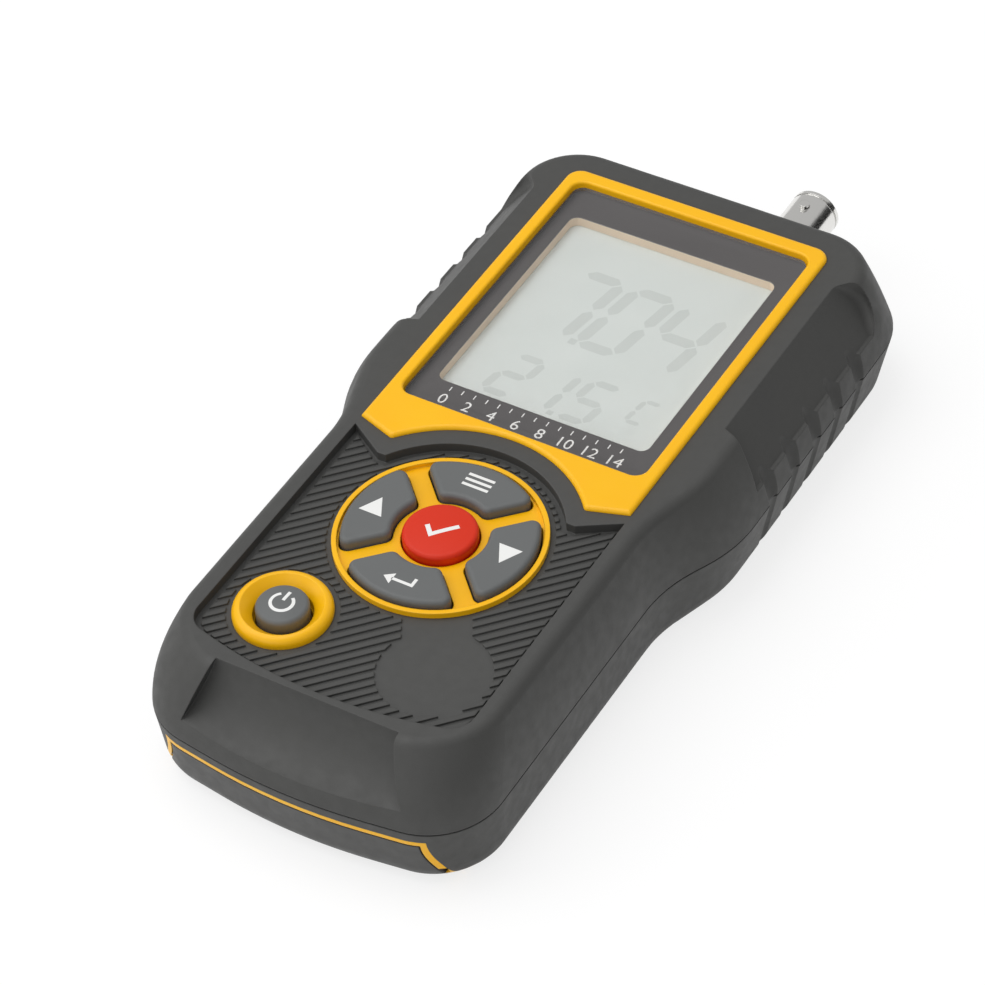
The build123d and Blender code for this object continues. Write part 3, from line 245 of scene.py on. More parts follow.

# Screws that clamp the circuit board up to the front half: zinc plated steel, turned and rolled.
# The plating is grey with a faint blotchy haze.
screw_steel, tree, shader = start_material("zinc_steel", {"Metallic": 1.0})
place = add_node(tree, "ShaderNodeTexCoord").outputs["Object"]
haze = add_node(tree, "ShaderNodeTexNoise", {"Scale": 1 / (0.8 * MM), "Detail": 5.0}, {"Vector": place})
zinc = add_node(tree, "ShaderNodeMix", {6: linear("#A9ABAA"), 7: linear("#C6C6C0")}, {0: haze.outputs[0]},
                data_type="RGBA")
tree.links.new(zinc.outputs[2], shader.inputs["Base Color"])
dull = add_node(tree, "ShaderNodeMapRange", {3: 0.25, 4: 0.45}, {0: haze.outputs[0]})
tree.links.new(dull.outputs[0], shader.inputs["Roughness"])
dress(screw_steel, "board_screws")

# Circuit board: glass-epoxy laminate under green solder mask, with copper tracks as faint ridges.
# Tracks run at right angles in a grid of cells, and the mask is glossy over them.
track_pitch = 1.27
solder_mask, tree, shader = start_material("solder_mask_on_laminate", {"Roughness": 0.28, "IOR": 1.55})
place = add_node(tree, "ShaderNodeTexCoord").outputs["Object"]
cells = add_node(tree, "ShaderNodeTexVoronoi", {"Scale": 1 / (3 * track_pitch * MM), "Randomness": 0.7},
                 {"Vector": place}, distance="MANHATTAN", feature="F1")
tracks = add_node(tree, "ShaderNodeMath", {1: 6.0}, {0: cells.outputs["Distance"]}, operation="MULTIPLY")
bands = add_node(tree, "ShaderNodeMath", {1: 1.0}, {0: tracks.outputs[0]}, operation="PINGPONG")
edges = add_node(tree, "ShaderNodeMapRange", {1: 0.45, 2: 0.55}, {0: bands.outputs[0]})
green = add_node(tree, "ShaderNodeMix", {6: linear("#1B5233"), 7: linear("#2C7347")}, {0: edges.outputs[0]},
                 data_type="RGBA")
tree.links.new(green.outputs[2], shader.inputs["Base Color"])
ridges = add_node(tree, "ShaderNodeBump", {"Strength": 0.8, "Distance": 0.03 * MM}, {"Height": edges.outputs[0]})
tree.links.new(ridges.outputs[0], shader.inputs["Normal"])
dress(solder_mask, "main_board")

# Chip packages and the can over the electrode input, soldered under the board.
# The packages are black epoxy with a fine sandy mould finish, and the can is tinned sheet steel.
dress(moulded("chip_epoxy", "#1E1E20", "#242427", 0.55, 0.12, 0.006, 0.10, "#3A3A3C", 1.55), "board_chips")
tinned_steel, tree, shader = start_material("tinned_steel", {"Metallic": 1.0})
place = add_node(tree, "ShaderNodeTexCoord").outputs["Object"]
grain = add_node(tree, "ShaderNodeTexVoronoi", {"Scale": 1 / (1.5 * MM)}, {"Vector": place})
spangle = add_node(tree, "ShaderNodeMix", {6: linear("#C4C4BF"), 7: linear("#D8D8D4")},
                   {0: grain.outputs["Distance"]}, data_type="RGBA")
tree.links.new(spangle.outputs[2], shader.inputs["Base Color"])
dull = add_node(tree, "ShaderNodeMapRange", {3: 0.22, 4: 0.40}, {0: grain.outputs["Distance"]})
tree.links.new(dull.outputs[0], shader.inputs["Roughness"])
dress(tinned_steel, "input_shield")

# Battery contacts: bowed spring strips and flat plates of nickel plated steel, pressed from strip.
# Rolling leaves fine lines along the strip.
contact_strip, tree, shader = start_material("nickel_strip", {"Metallic": 1.0, "Roughness": 0.25})
place = add_node(tree, "ShaderNodeTexCoord").outputs["Object"]
rolled = add_node(tree, "ShaderNodeMapping", {"Scale": (1.0, 1.0, 12.0)}, {"Vector": place})
lines = add_node(tree, "ShaderNodeTexNoise", {"Scale": 1 / (0.9 * MM), "Detail": 2.0},
                 {"Vector": rolled.outputs[0]})
strip = add_node(tree, "ShaderNodeMix", {6: linear("#BDBBB4"), 7: linear("#D9D7D0")}, {0: lines.outputs[0]},
                 data_type="RGBA")
tree.links.new(strip.outputs[2], shader.inputs["Base Color"])
dress(contact_strip, "battery_springs", "battery_plates")

# Leads from the battery contacts to the board, and the screened lead of the jack: PVC covered wire.
# The cover is extruded, smooth and slightly glossy.
dress(moulded("lead_pvc", "#1D1D20", "#26262A", 0.38, 0.20, 0.002, 0.10, "#3A3A3D", 1.53),
      "battery_leads", "bnc_lead")

# Four cylindrical cells side by side in the bay, each a drawn steel can in a shrunk plastic sleeve.
# The sleeve is dark with a pale band towards the raised end, and both ends of the can are bare metal.
band_share = 0.24
end_share = 0.035
for index in range(4):
    node = f"battery_cell_{index + 1}"
    low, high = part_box(node)
    raised_end = high.y if index % 2 == 0 else low.y
    flat_end = low.y if index % 2 == 0 else high.y
    material, tree, shader = start_material(f"cell_sleeve_{index + 1}", {"Roughness": 0.3, "IOR": 1.5})
    place = add_node(tree, "ShaderNodeTexCoord").outputs["Object"]
    along = add_node(tree, "ShaderNodeSeparateXYZ", links={0: place})
    share = add_node(tree, "ShaderNodeMapRange", {1: flat_end, 2: raised_end}, {0: along.outputs["Y"]})
    band = add_node(tree, "ShaderNodeMath", {1: 1 - band_share}, {0: share.outputs[0]}, operation="GREATER_THAN")
    sleeve = add_node(tree, "ShaderNodeMix", {6: linear("#26282C"), 7: linear("#B9BCC0")},
                      {0: band.outputs[0]}, data_type="RGBA")
    middle = add_node(tree, "ShaderNodeMath", {1: 0.5}, {0: share.outputs[0]}, operation="SUBTRACT")
    off_middle = add_node(tree, "ShaderNodeMath", links={0: middle.outputs[0]}, operation="ABSOLUTE")
    bare = add_node(tree, "ShaderNodeMath", {1: 0.5 - end_share}, {0: off_middle.outputs[0]},
                    operation="GREATER_THAN")
    outside = add_node(tree, "ShaderNodeMix", {7: linear("#CFCFCB")}, {0: bare.outputs[0], 6: sleeve.outputs[2]},
                       data_type="RGBA")
    tree.links.new(outside.outputs[2], shader.inputs["Base Color"])
    tree.links.new(bare.outputs[0], shader.inputs["Metallic"])
    wrinkle = add_node(tree, "ShaderNodeTexNoise", {"Scale": 1 / (1.6 * MM), "Detail": 3.0}, {"Vector": place})
    relief = add_node(tree, "ShaderNodeBump", {"Strength": 0.5, "Distance": 0.02 * MM},
                      {"Height": wrinkle.outputs[0]})
    tree.links.new(relief.outputs[0], shader.inputs["Normal"])
    dress(material, node)

# Signal jack: a turned brass barrel with two bayonet lugs, washer and nut, all nickel plated.
# Turning leaves fine rings round the axis, which the plating keeps.
jack_axis_x = 11.4 * MM
jack_axis_z = 14.2 * MM
nickel, tree, shader = start_material("nickel_plate", {"Metallic": 1.0, "Base Color": linear("#E3E2DF")})
place = add_node(tree, "ShaderNodeTexCoord").outputs["Object"]
turned = add_node(tree, "ShaderNodeMapping", {"Scale": (0.15, 1.0, 0.15),
                                              "Location": (-jack_axis_x, 0.0, -jack_axis_z)}, {"Vector": place})
rings = add_node(tree, "ShaderNodeTexNoise", {"Scale": 1 / (0.25 * MM), "Detail": 3.0},
                 {"Vector": turned.outputs[0]})
ring_gloss = add_node(tree, "ShaderNodeMapRange", {3: 0.08, 4: 0.24}, {0: rings.outputs[0]})
tree.links.new(ring_gloss.outputs[0], shader.inputs["Roughness"])
soft_edge = add_node(tree, "ShaderNodeBevel", {"Radius": 0.2 * MM}, samples=6)
relief = add_node(tree, "ShaderNodeBump", {"Strength": 0.6, "Distance": 0.006 * MM},
                  {"Height": rings.outputs[0], "Normal": soft_edge.outputs[0]})
tree.links.new(relief.outputs[0], shader.inputs["Normal"])
dress(nickel, "bnc_shell", "bnc_washer", "bnc_nut")

# Insulator of fluoroplastic round the jack's gold plated centre contact, and a rubber gasket outside.
# The insulator is milky and waxy, and the contact is turned like the barrel.
dress(moulded("jack_fluoroplastic", "#E9E7E1", "#F0EFEA", 0.42, 0.4, 0.002, 0.15, "#F4F3EF", 1.38),
      "bnc_insulator")
gold, tree, shader = start_material("gold_plate", {"Metallic": 1.0, "Base Color": linear("#E3B75C")})
place = add_node(tree, "ShaderNodeTexCoord").outputs["Object"]
rings = add_node(tree, "ShaderNodeTexNoise", {"Scale": 1 / (0.3 * MM), "Detail": 2.0}, {"Vector": place})
ring_gloss = add_node(tree, "ShaderNodeMapRange", {3: 0.12, 4: 0.28}, {0: rings.outputs[0]})
tree.links.new(ring_gloss.outputs[0], shader.inputs["Roughness"])
dress(gold, "bnc_contact")
black_rubber = moulded("black_rubber", "#1B1B1B", "#232322", 0.66, 0.25, 0.008, 0.2, "#3B3B3A", 1.52)
dress(black_rubber, "bnc_gasket", "case_seal")

# Display stack: white holder, acrylic light guide, striped rubber contact strip and the glass.
# The holder is moulded ABS, and the light guide is polished with a dotted print under it.
dress(moulded("holder_abs", "#E4E2DA", "#DEDCD3", 0.45, 0.3, 0.004, 0.2, "#EFEEE8", 1.53), "lcd_holder")
dress(moulded("gasket_foam", "#F0DCC4", "#E8D2B8", 0.85, 0.35, 0.02, 0.1, "#F5E6D4", 1.4), "display_gasket")
light_guide, tree, shader = start_material(
    "light_guide_acrylic", {"Roughness": 0.12, "IOR": 1.49, "Transmission Weight": 0.35}
)
place = add_node(tree, "ShaderNodeTexCoord").outputs["Object"]
dots = add_node(tree, "ShaderNodeTexVoronoi", {"Scale": 1 / (1.0 * MM), "Randomness": 0.0}, {"Vector": place})
dot_edge = add_node(tree, "ShaderNodeMapRange", {1: 0.28, 2: 0.34}, {0: dots.outputs["Distance"]})
guide = add_node(tree, "ShaderNodeMix", {6: linear("#FFFFFF"), 7: linear("#E6EBEE")}, {0: dot_edge.outputs[0]},
                 data_type="RGBA")
tree.links.new(guide.outputs[2], shader.inputs["Base Color"])
dress(light_guide, "lcd_backlight")

# Contact strip: silicone rubber with conducting layers across it, every 0.2 mm on the real strip.
# The layers are drawn 0.6 mm apart so that they still show.
zebra, tree, shader = start_material("zebra_rubber", {"Roughness": 0.6, "IOR": 1.41})
place = add_node(tree, "ShaderNodeTexCoord").outputs["Object"]
layers = add_node(tree, "ShaderNodeTexWave", {"Scale": 1 / (0.6 * MM) / 20, "Distortion": 0.0}, {"Vector": place},
                  bands_direction="X")
stripes = add_node(tree, "ShaderNodeMapRange", {1: 0.45, 2: 0.55}, {0: layers.outputs["Fac"]})
strip = add_node(tree, "ShaderNodeMix", {6: linear("#D9A6A0"), 7: linear("#2B2A2C")}, {0: stripes.outputs[0]},
                 data_type="RGBA")
tree.links.new(strip.outputs[2], shader.inputs["Base Color"])
dress(zebra, "zebra_strip")

# Liquid crystal glass with its reflecting polariser, switched off: an even pale grey with a green cast.
# The film is smooth, and a very faint mottle breaks up its reflection.
lcd_glass, tree, shader = start_material("lcd_polariser", {"Roughness": 0.22, "IOR": 1.5})
place = add_node(tree, "ShaderNodeTexCoord").outputs["Object"]
mottle = add_node(tree, "ShaderNodeTexNoise", {"Scale": 1 / (9 * MM), "Detail": 2.0}, {"Vector": place})
film = add_node(tree, "ShaderNodeMix", {6: linear("#C6CBC8"), 7: linear("#CDD1CE")}, {0: mottle.outputs[0]},
                data_type="RGBA")
tree.links.new(film.outputs[2], shader.inputs["Base Color"])
dress(lcd_glass, "lcd_panel")

# Segments of the reading, etched in the glass and only just visible without power.
# Two rows of slanted seven-segment figures, a pH reading over a temperature.
segment_thick = 0.02
segment_lift = 0.01
segments_of = {
    "0": "abcdef", "1": "bc", "2": "abged", "4": "fgbc", "5": "afgcd", "7": "abc", "8": "abcdefg", "C": "afed",
}


def bar_outline(start, end, half):
    """A segment from start to end with pointed ends, as six corners."""
    along = (Vector(end) - Vector(start)).normalized()
    across = Vector((-along.y, along.x)) * half
    first = Vector(start) + along * half * 0.25
    last = Vector(end) - along * half * 0.25
    inner = along * half
    return [first, first + inner - across, last - inner - across, last, last - inner + across,
            first + inner + across]


def figure(sign, left, low, width, tall, half, slant):
    """Outlines of one seven-segment sign, leaning to the right."""
    right, middle, high = left + width, low + tall / 2, low + tall
    ends = {
        "a": ((left, high), (right, high)), "b": ((right, middle), (right, high)),
        "c": ((right, low), (right, middle)), "d": ((left, low), (right, low)),
        "e": ((left, low), (left, middle)), "f": ((left, middle), (left, high)),
        "g": ((left, middle), (right, middle)),
    }
    shapes = [bar_outline(*ends[name], half) for name in segments_of[sign]]
    return [[(p.x + (p.y - low) * slant, p.y) for p in shape] for shape in shapes]


def thin_layer(name, outlines, top, thick, under=None):
    """A thin closed layer over flat outlines in millimetres, laid on the piece named under, if any."""
    mesh = bmesh.new()
    for outline in outlines:
        mesh.faces.new([mesh.verts.new((x * MM, y * MM, top * MM)) for x, y in outline])
    bmesh.ops.remove_doubles(mesh, verts=mesh.verts, dist=0.002 * MM)
    if under:
        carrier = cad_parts[under].data
        tree = BVHTree.FromPolygons([v.co for v in carrier.vertices], [p.vertices for p in carrier.polygons])
        for vert in mesh.verts:
            hit = tree.ray_cast(Vector((vert.co.x, vert.co.y, 0.1)), Vector((0, 0, -1)))[0]
            vert.co.z = hit.z + (top - thick) * MM
    bmesh.ops.recalc_face_normals(mesh, faces=mesh.faces)
    for face in mesh.faces:
        if face.normal.z < 0:
            face.normal_flip()
    base = bmesh.ops.duplicate(mesh, geom=mesh.faces[:])["geom"]
    walls = bmesh.ops.extrude_face_region(mesh, geom=[f for f in base if isinstance(f, bmesh.types.BMFace)])
    bmesh.ops.delete(mesh, geom=[f for f in base if isinstance(f, bmesh.types.BMFace)], context="FACES_ONLY")
    moved = {g for g in walls["geom"] if isinstance(g, bmesh.types.BMVert)}
    bmesh.ops.translate(mesh, verts=list(moved), vec=(0, 0, -thick * MM))
    for face in [g for g in walls["geom"] if isinstance(g, bmesh.types.BMFace)]:
        face.normal_flip()
    bmesh.ops.remove_doubles(mesh, verts=mesh.verts, dist=0.0005 * MM)
    bmesh.ops.recalc_face_normals(mesh, faces=mesh.faces)
    data = bpy.data.meshes.new(name)
    mesh.to_mesh(data)
    mesh.free()
    layer = bpy.data.objects.new(name, data)
    bpy.context.scene.collection.objects.link(layer)
    return layer


lcd_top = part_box("lcd_panel")[1].z / MM
reading_slant = 0.17
large_figure = {"low": 30.3, "width": 7.6, "tall": 17.2, "half": 1.15, "slant": reading_slant}
small_figure = {"low": 12.0, "width": 5.2, "tall": 10.4, "half": 0.8, "slant": reading_slant}
unit_figure = {"low": 16.2, "width": 3.0, "tall": 6.0, "half": 0.5, "slant": reading_slant}
reading = []
for sign, left in (("7", -15.4), ("0", -4.6), ("4", 6.2)):
    reading += figure(sign, left, **large_figure)
reading.append([(-4.4 + dx, 30.0 + dy) for dx, dy in ((-1.9, -0.8), (-0.4, -0.8), (-0.3, 0.7), (-1.8, 0.7))])
for sign, left in (("2", -14.0), ("1", -6.4), ("5", 1.6)):
    reading += figure(sign, left, **small_figure)
reading.append([(0.2 + dx, 11.8 + dy) for dx, dy in ((-0.7, -0.6), (0.5, -0.6), (0.6, 0.5), (-0.6, 0.5))])
reading += figure("C", 13.0, **unit_figure)
lcd_segments = thin_layer("lcd_segments", reading, lcd_top + segment_lift, segment_thick)
segment_ink, tree, shader = start_material("etched_segments", {"Roughness": 0.22, "IOR": 1.5})
place = add_node(tree, "ShaderNodeTexCoord").outputs["Object"]
mottle = add_node(tree, "ShaderNodeTexNoise", {"Scale": 1 / (5 * MM), "Detail": 2.0}, {"Vector": place})
faint = add_node(tree, "ShaderNodeMix", {6: linear("#B9BEBB"), 7: linear("#C1C5C2")}, {0: mottle.outputs[0]},
                 data_type="RGBA")
tree.links.new(faint.outputs[2], shader.inputs["Base Color"])
lcd_segments.data.materials.append(segment_ink)
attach(lcd_segments, "case")

# Contact sheet of the keypad and one silicone dome under each key, compression moulded.
# The rubber is milky and lets some light through.
silicone, tree, shader = start_material(
    "silicone_rubber", {"Roughness": 0.45, "IOR": 1.41, "Subsurface Weight": 0.3, "Subsurface Scale": 0.002}
)
place = add_node(tree, "ShaderNodeTexCoord").outputs["Object"]
cloud = add_node(tree, "ShaderNodeTexNoise", {"Scale": 1 / (3 * MM), "Detail": 3.0}, {"Vector": place})
milky = add_node(tree, "ShaderNodeMix", {6: linear("#CFCFC9"), 7: linear("#DADAD5")}, {0: cloud.outputs[0]},
                 data_type="RGBA")
tree.links.new(milky.outputs[2], shader.inputs["Base Color"])
key_names = ("menu", "up", "down", "esc", "enter", "power")
dress(silicone, "keypad_mat", *[f"{key}_dome" for key in key_names])

# Front half of the hard housing: display bezel, key ring and power bead, moulded with the back half's ABS.
# It has the same satin finish, and its raised edges are painted lighter, part handling wear and part painted
# highlight.
dress(orange_abs, "front_shell")

# Window: a clear acrylic plate pushed into the bezel, and the dark frame printed on its underside.
# The plate is cast and polished, and its cut edges catch the light.
window_clear, tree, shader = start_material(
    "window_acrylic", {"Roughness": 0.03, "IOR": 1.49, "Transmission Weight": 1.0}
)
place = add_node(tree, "ShaderNodeTexCoord").outputs["Object"]
wipes = add_node(tree, "ShaderNodeTexNoise", {"Scale": 1 / (6 * MM), "Detail": 4.0}, {"Vector": place})
wiped = add_node(tree, "ShaderNodeMapRange", {1: 0.35, 2: 0.75, 3: 0.015, 4: 0.06}, {0: wipes.outputs[0]})
tree.links.new(wiped.outputs[0], shader.inputs["Roughness"])
clear_tint = add_node(tree, "ShaderNodeMix", {6: linear("#FDFEFD"), 7: linear("#FFFFFF")}, {0: wipes.outputs[0]},
                      data_type="RGBA")
tree.links.new(clear_tint.outputs[2], shader.inputs["Base Color"])
surface_out = next(node for node in tree.nodes if node.type == "OUTPUT_MATERIAL")
passing = add_node(tree, "ShaderNodeBsdfTransparent")
shadow_ray = add_node(tree, "ShaderNodeLightPath").outputs["Is Shadow Ray"]
clear_mix = add_node(tree, "ShaderNodeMixShader", links={0: shadow_ray, 1: shader.outputs[0],
                                                         2: passing.outputs[0]})
tree.links.new(clear_mix.outputs[0], surface_out.inputs["Surface"])
dress(window_clear, "display_window")
dress(moulded("window_ink", "#848080", "#807C7C", 0.45, 0.5, 0.001, 0.05, "#8C8888", 1.5), "window_mask")

# Scale printed under the window in white ink, below the reading: plain numbers from 0 to 14 with ticks.
# Screen printed in one pass, so the lines are even and very slightly rough.
scale_y = 4.2
scale_half = 17.5
scale_steps = 14
number_height = 2.6
tick_sizes = (0.22, 1.1, 0.02)
tick_rise = 2.9
print_lift = 0.01
print_ink = moulded("white_ink", "#F3F3F1", "#ECECEA", 0.5, 0.15, 0.002, 0.02, "#F2F2F0", 1.5)
mask_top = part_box("window_mask")[1].z / MM
ticks_tree = bpy.data.node_groups.new("scale_ticks", "GeometryNodeTree")
ticks_tree.interface.new_socket("Geometry", in_out="OUTPUT", socket_type="NodeSocketGeometry")
for label, kind in (("Count", "NodeSocketInt"), ("Start", "NodeSocketVector"), ("Pitch", "NodeSocketVector"),
                    ("Tick size", "NodeSocketVector"), ("Ink", "NodeSocketMaterial")):
    ticks_tree.interface.new_socket(label, in_out="INPUT", socket_type=kind)
inputs = add_node(ticks_tree, "NodeGroupInput")
line = add_node(ticks_tree, "GeometryNodeMeshLine",
                links={"Count": inputs.outputs["Count"], "Start Location": inputs.outputs["Start"],
                       "Offset": inputs.outputs["Pitch"]})
tick = add_node(ticks_tree, "GeometryNodeMeshCube", links={"Size": inputs.outputs["Tick size"]})
spread = add_node(ticks_tree, "GeometryNodeInstanceOnPoints",
                  links={"Points": line.outputs[0], "Instance": tick.outputs[0]})
real = add_node(ticks_tree, "GeometryNodeRealizeInstances", links={0: spread.outputs[0]})
inked = add_node(ticks_tree, "GeometryNodeSetMaterial", links={"Geometry": real.outputs[0],
                                                               "Material": inputs.outputs["Ink"]})
add_node(ticks_tree, "NodeGroupOutput", links={0: inked.outputs[0]})


def grown(name, tree, values, places=()):
    """A plain mesh piece from a geometry tree, with its named inputs set and any points it grows on."""
    seeds = bpy.data.meshes.new(name)
    seeds.from_pydata(list(places), [], [])
    carrier = bpy.data.objects.new(name, seeds)
    bpy.context.scene.collection.objects.link(carrier)
    modifier = carrier.modifiers.new(name, "NODES")
    modifier.node_group = tree
    for item in tree.interface.items_tree:
        if item.in_out == "INPUT" and item.name in values:
            modifier[item.identifier] = values[item.name]
    depsgraph = bpy.context.evaluated_depsgraph_get()
    mesh = bpy.data.meshes.new_from_object(carrier.evaluated_get(depsgraph))
    carrier.modifiers.clear()
    carrier.data = mesh
    return carrier


scale_ticks = grown("scale_ticks", ticks_tree, {
    "Count": scale_steps + 1,
    "Start": (-scale_half * MM, (scale_y + tick_rise) * MM, (mask_top + print_lift) * MM),
    "Pitch": (2 * scale_half / scale_steps * MM, 0.0, 0.0),
    "Tick size": tuple(size * MM for size in tick_sizes),
    "Ink": print_ink,
})
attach(scale_ticks, "case")


def figures(name, words, height, top):
    """Upright printed numbers as one flat closed mesh: each word with the place of its middle."""
    merged = bmesh.new()
    for word, (x, y) in words:
        curve = bpy.data.curves.new(name, "FONT")
        curve.body = word
        curve.size = height * 1.35 * MM
        curve.extrude = 0.01 * MM
        curve.align_x = "CENTER"
        curve.align_y = "CENTER"
        letter = bpy.data.objects.new(name, curve)
        bpy.context.scene.collection.objects.link(letter)
        mesh = bpy.data.meshes.new_from_object(letter.evaluated_get(bpy.context.evaluated_depsgraph_get()))
        mesh.transform(Matrix.Translation((x * MM, y * MM, top * MM)))
        merged.from_mesh(mesh)
        bpy.data.objects.remove(letter)
    bmesh.ops.remove_doubles(merged, verts=merged.verts, dist=0.001 * MM)
    bmesh.ops.recalc_face_normals(merged, faces=merged.faces)
    data = bpy.data.meshes.new(name)
    merged.to_mesh(data)
    merged.free()
    piece = bpy.data.objects.new(name, data)
    bpy.context.scene.collection.objects.link(piece)
    return piece


numbers = [(str(step), (-scale_half + 2 * scale_half * step / scale_steps, scale_y))
           for step in range(0, scale_steps + 1, 2)]
scale_numbers = figures("scale_numbers", numbers, number_height, mask_top + print_lift)
scale_numbers.data.materials.append(print_ink)
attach(scale_numbers, "case")

# Keys: silicone rubber caps with a hard matt coat, five grey and the centre one red.
# Each rests on its dome with a flange under the housing, and travels a millimetre.
key_grey = moulded("key_grey_coat", "#686A6A", "#646666", 0.50, 0.22, 0.004, 0.25, "#7A7D7F", 1.45)
key_red = moulded("key_red_coat", "#DC3010", "#D62C0C", 0.42, 0.22, 0.003, 0.25, "#E85A40", 1.45, 0.35)
dress(key_grey, "menu_key", "up_key", "down_key", "esc_key", "power_key")
dress(key_red, "enter_key")

# Legends printed in white on the keys: two triangles, a power sign, three bars, a return arrow and a tick.
# The ink stands a few hundredths of a millimetre proud and follows the crown of each cap.
ring_middle = (0.0, -25.5)
ring_mid_radius = 13.0
power_middle = (-14.8, -52.85)
legend_top = 0.07
legend_thick = 0.06
icon_half = 0.3
check_half = 0.42


def stroke(points, half):
    """A line of even width through points, as short four-cornered pieces with mitred joins."""
    spots = [Vector(points[0])]
    for end in points[1:]:
        start = spots[-1]
        steps = max(1, math.ceil((Vector(end) - start).length / 0.5))
        spots += [start.lerp(Vector(end), (step + 1) / steps) for step in range(steps)]
    sides = []
    for index, spot in enumerate(spots):
        before = (spot - spots[index - 1]).normalized() if index else None
        after = (spots[index + 1] - spot).normalized() if index + 1 < len(spots) else None
        along = ((before or after) + (after or before)).normalized()
        across = Vector((-along.y, along.x))
        reach = half / max(0.4, along.dot(before or after))
        sides.append((spot - across * reach, spot + across * reach))
    return [[tuple(a[0]), tuple(b[0]), tuple(b[1]), tuple(a[1])] for a, b in zip(sides, sides[1:])]


def arc_points(centre, radius, start, end, steps):
    """Points along an arc, with angles in degrees from the X axis."""
    turns = [math.radians(start + (end - start) * step / steps) for step in range(steps + 1)]
    return [(centre[0] + radius * math.cos(turn), centre[1] + radius * math.sin(turn)) for turn in turns]


def arrow_head(tip, half, depth, way):
    """A triangle whose tip points up or down the meter."""
    x, y = tip
    return [(x, y), (x - half * way, y - depth * way), (x + half * way, y - depth * way)]


menu_y = ring_middle[1] + ring_mid_radius
esc_y = ring_middle[1] - ring_mid_radius
power_arc = arc_points(power_middle, 2.0, 125, 415, 28)
menu_bars = [stroke([(-2.6, menu_y + rise), (2.6, menu_y + rise)], icon_half)
             for rise in (1.25, 0.0, -1.25)]
return_line = stroke([(2.6, esc_y + 1.0), (2.6, esc_y - 0.7), (-1.4, esc_y - 0.7)], icon_half)
legends = {
    "menu": [piece for bar in menu_bars for piece in bar],
    "up": [arrow_head((-ring_mid_radius, ring_middle[1] + 2.2), 2.3, 4.2, 1)],
    "down": [arrow_head((ring_mid_radius, ring_middle[1] - 2.2), 2.3, 4.2, -1)],
    "esc": return_line + [[(-1.2, esc_y + 0.6), (-3.0, esc_y - 0.7), (-1.2, esc_y - 2.0)]],
    "enter": stroke([(-2.5, ring_middle[1] - 0.1), (-0.8, ring_middle[1] - 1.9), (2.7, ring_middle[1] + 2.0)],
                    check_half),
    "power": stroke(power_arc, icon_half)
    + stroke([(power_middle[0], power_middle[1] + 0.4), (power_middle[0], power_middle[1] + 2.7)], icon_half),
}
for key, outlines in legends.items():
    legend = thin_layer(f"{key}_legend", outlines, legend_top, legend_thick, f"{key}_key")
    legend.data.materials.append(print_ink)
    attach(legend, f"{key}_button")

# Soft skin of both halves: dark grey thermoplastic rubber moulded over the hard housing.
# It has a fine eroded grain and a dry sheen, and its edges are painted paler, part rub wear and part painted
# highlight.
grey_skin = moulded("grey_rubber_skin", "#454543", "#414140", 0.58, 0.28, 0.010, 0.35, "#565654", 1.52)
dress(grey_skin, "front_overmould", "rear_overmould")

# Battery door: a dark grey ABS cover that slides off the bottom end on two hooked rails.
# It is moulded with the same grain as the rubber beside it, and is a little glossier.
dress(moulded("door_abs", "#464645", "#424241", 0.50, 0.28, 0.008, 0.30, "#575756", 1.53), "battery_door")

# Screws that hold the halves together: zinc plated pan heads with a cross recess, sunk in the back.
# The head is cold formed, and the cross is punched into it. Two pairs stand either side of the middle.
case_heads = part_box("case_screws")
head_tall = 1.6
head_radius = 2.8
shank_radius = 1.45
cross_reach = 1.7
cross_half = 0.42
cross_depth = 1.0


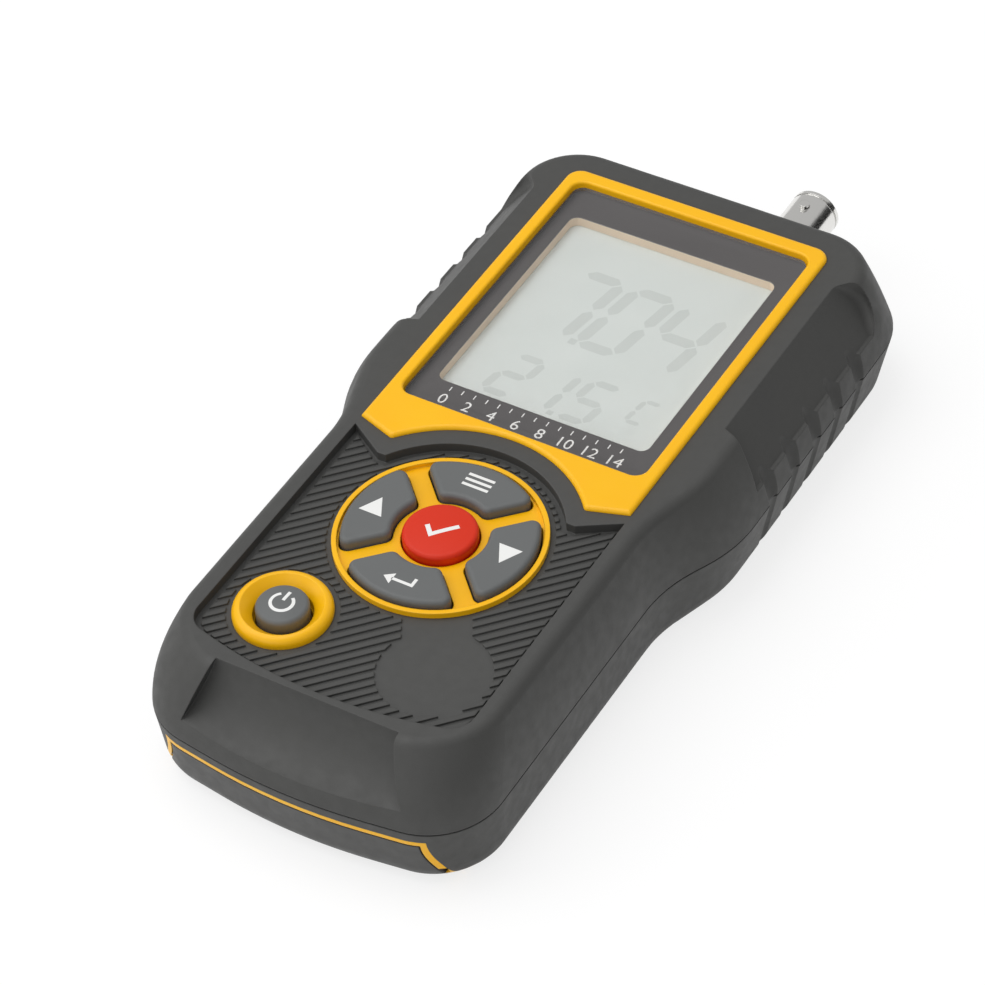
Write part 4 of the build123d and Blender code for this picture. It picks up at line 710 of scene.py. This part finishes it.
def screw_mesh(name, length):
    """One screw with its head below z = 0 and its shank above, the cross open downwards."""
    curve = bpy.data.curves.new(name, "CURVE")
    curve.dimensions = "2D"
    curve.fill_mode = "BOTH"
    rim = arc_points((0.0, 0.0), head_radius, 0, 350, 35)
    cross = [(cross_reach, -cross_half), (cross_reach, cross_half), (cross_half, cross_half)]
    arms = []
    for quarter in range(4):
        turn = Matrix.Rotation(math.radians(90 * quarter), 2)
        arms += [tuple(turn @ Vector(point)) for point in cross]
    for outline in (rim, arms):
        spline = curve.splines.new("POLY")
        spline.points.add(len(outline) - 1)
        for point, (x, y) in zip(spline.points, outline):
            point.co = (x * MM, y * MM, 0.0, 1.0)
        spline.use_cyclic_u = True
    curve.extrude = cross_depth / 2 * MM
    shape = bpy.data.objects.new(name, curve)
    bpy.context.scene.collection.objects.link(shape)
    head = bpy.data.meshes.new_from_object(shape.evaluated_get(bpy.context.evaluated_depsgraph_get()))
    bpy.data.objects.remove(shape)
    head.transform(Matrix.Translation((0, 0, (cross_depth / 2 - head_tall) * MM)))
    mesh = bmesh.new()
    mesh.from_mesh(head)
    for radius, low, high in ((head_radius, cross_depth - head_tall, 0.0), (shank_radius, 0.0, length)):
        place = Matrix.Translation((0, 0, (low + high) / 2 * MM))
        bmesh.ops.create_cone(mesh, cap_ends=True, segments=36, radius1=radius * MM, radius2=radius * MM,
                              depth=(high - low) * MM, matrix=place)
    bmesh.ops.recalc_face_normals(mesh, faces=mesh.faces)
    data = bpy.data.meshes.new(name)
    mesh.to_mesh(data)
    mesh.free()
    return data


screw_pairs = ((24.5, -12.0), (29.0, 67.2))
screw_places = [(side * x, y) for x, y in screw_pairs for side in (1, -1)]
seat_z = case_heads[0].z + head_tall * MM
screw_length = (case_heads[1].z - seat_z) / MM
screw_tree = bpy.data.node_groups.new("screws_at_places", "GeometryNodeTree")
screw_tree.interface.new_socket("Geometry", in_out="INPUT", socket_type="NodeSocketGeometry")
screw_tree.interface.new_socket("Geometry", in_out="OUTPUT", socket_type="NodeSocketGeometry")
for label, kind in (("Screw", "NodeSocketObject"), ("Plating", "NodeSocketMaterial")):
    screw_tree.interface.new_socket(label, in_out="INPUT", socket_type=kind)
inputs = add_node(screw_tree, "NodeGroupInput")
one_screw = add_node(screw_tree, "GeometryNodeObjectInfo", links={"Object": inputs.outputs["Screw"]})
spread = add_node(screw_tree, "GeometryNodeInstanceOnPoints",
                  links={"Points": inputs.outputs["Geometry"], "Instance": one_screw.outputs["Geometry"]})
real = add_node(screw_tree, "GeometryNodeRealizeInstances", links={0: spread.outputs[0]})
plated = add_node(screw_tree, "GeometryNodeSetMaterial", links={"Geometry": real.outputs[0],
                                                                "Material": inputs.outputs["Plating"]})
add_node(screw_tree, "NodeGroupOutput", links={0: plated.outputs[0]})
pattern_screw = bpy.data.objects.new("pattern_screw", screw_mesh("pattern_screw", screw_length))
bpy.context.scene.collection.objects.link(pattern_screw)
case_screw_set = grown("case_screw_set", screw_tree, {"Screw": pattern_screw, "Plating": screw_steel},
                       [(x * MM, y * MM, seat_z) for x, y in screw_places])
bpy.data.objects.remove(pattern_screw)
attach(case_screw_set, "case")
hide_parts("case_screws")
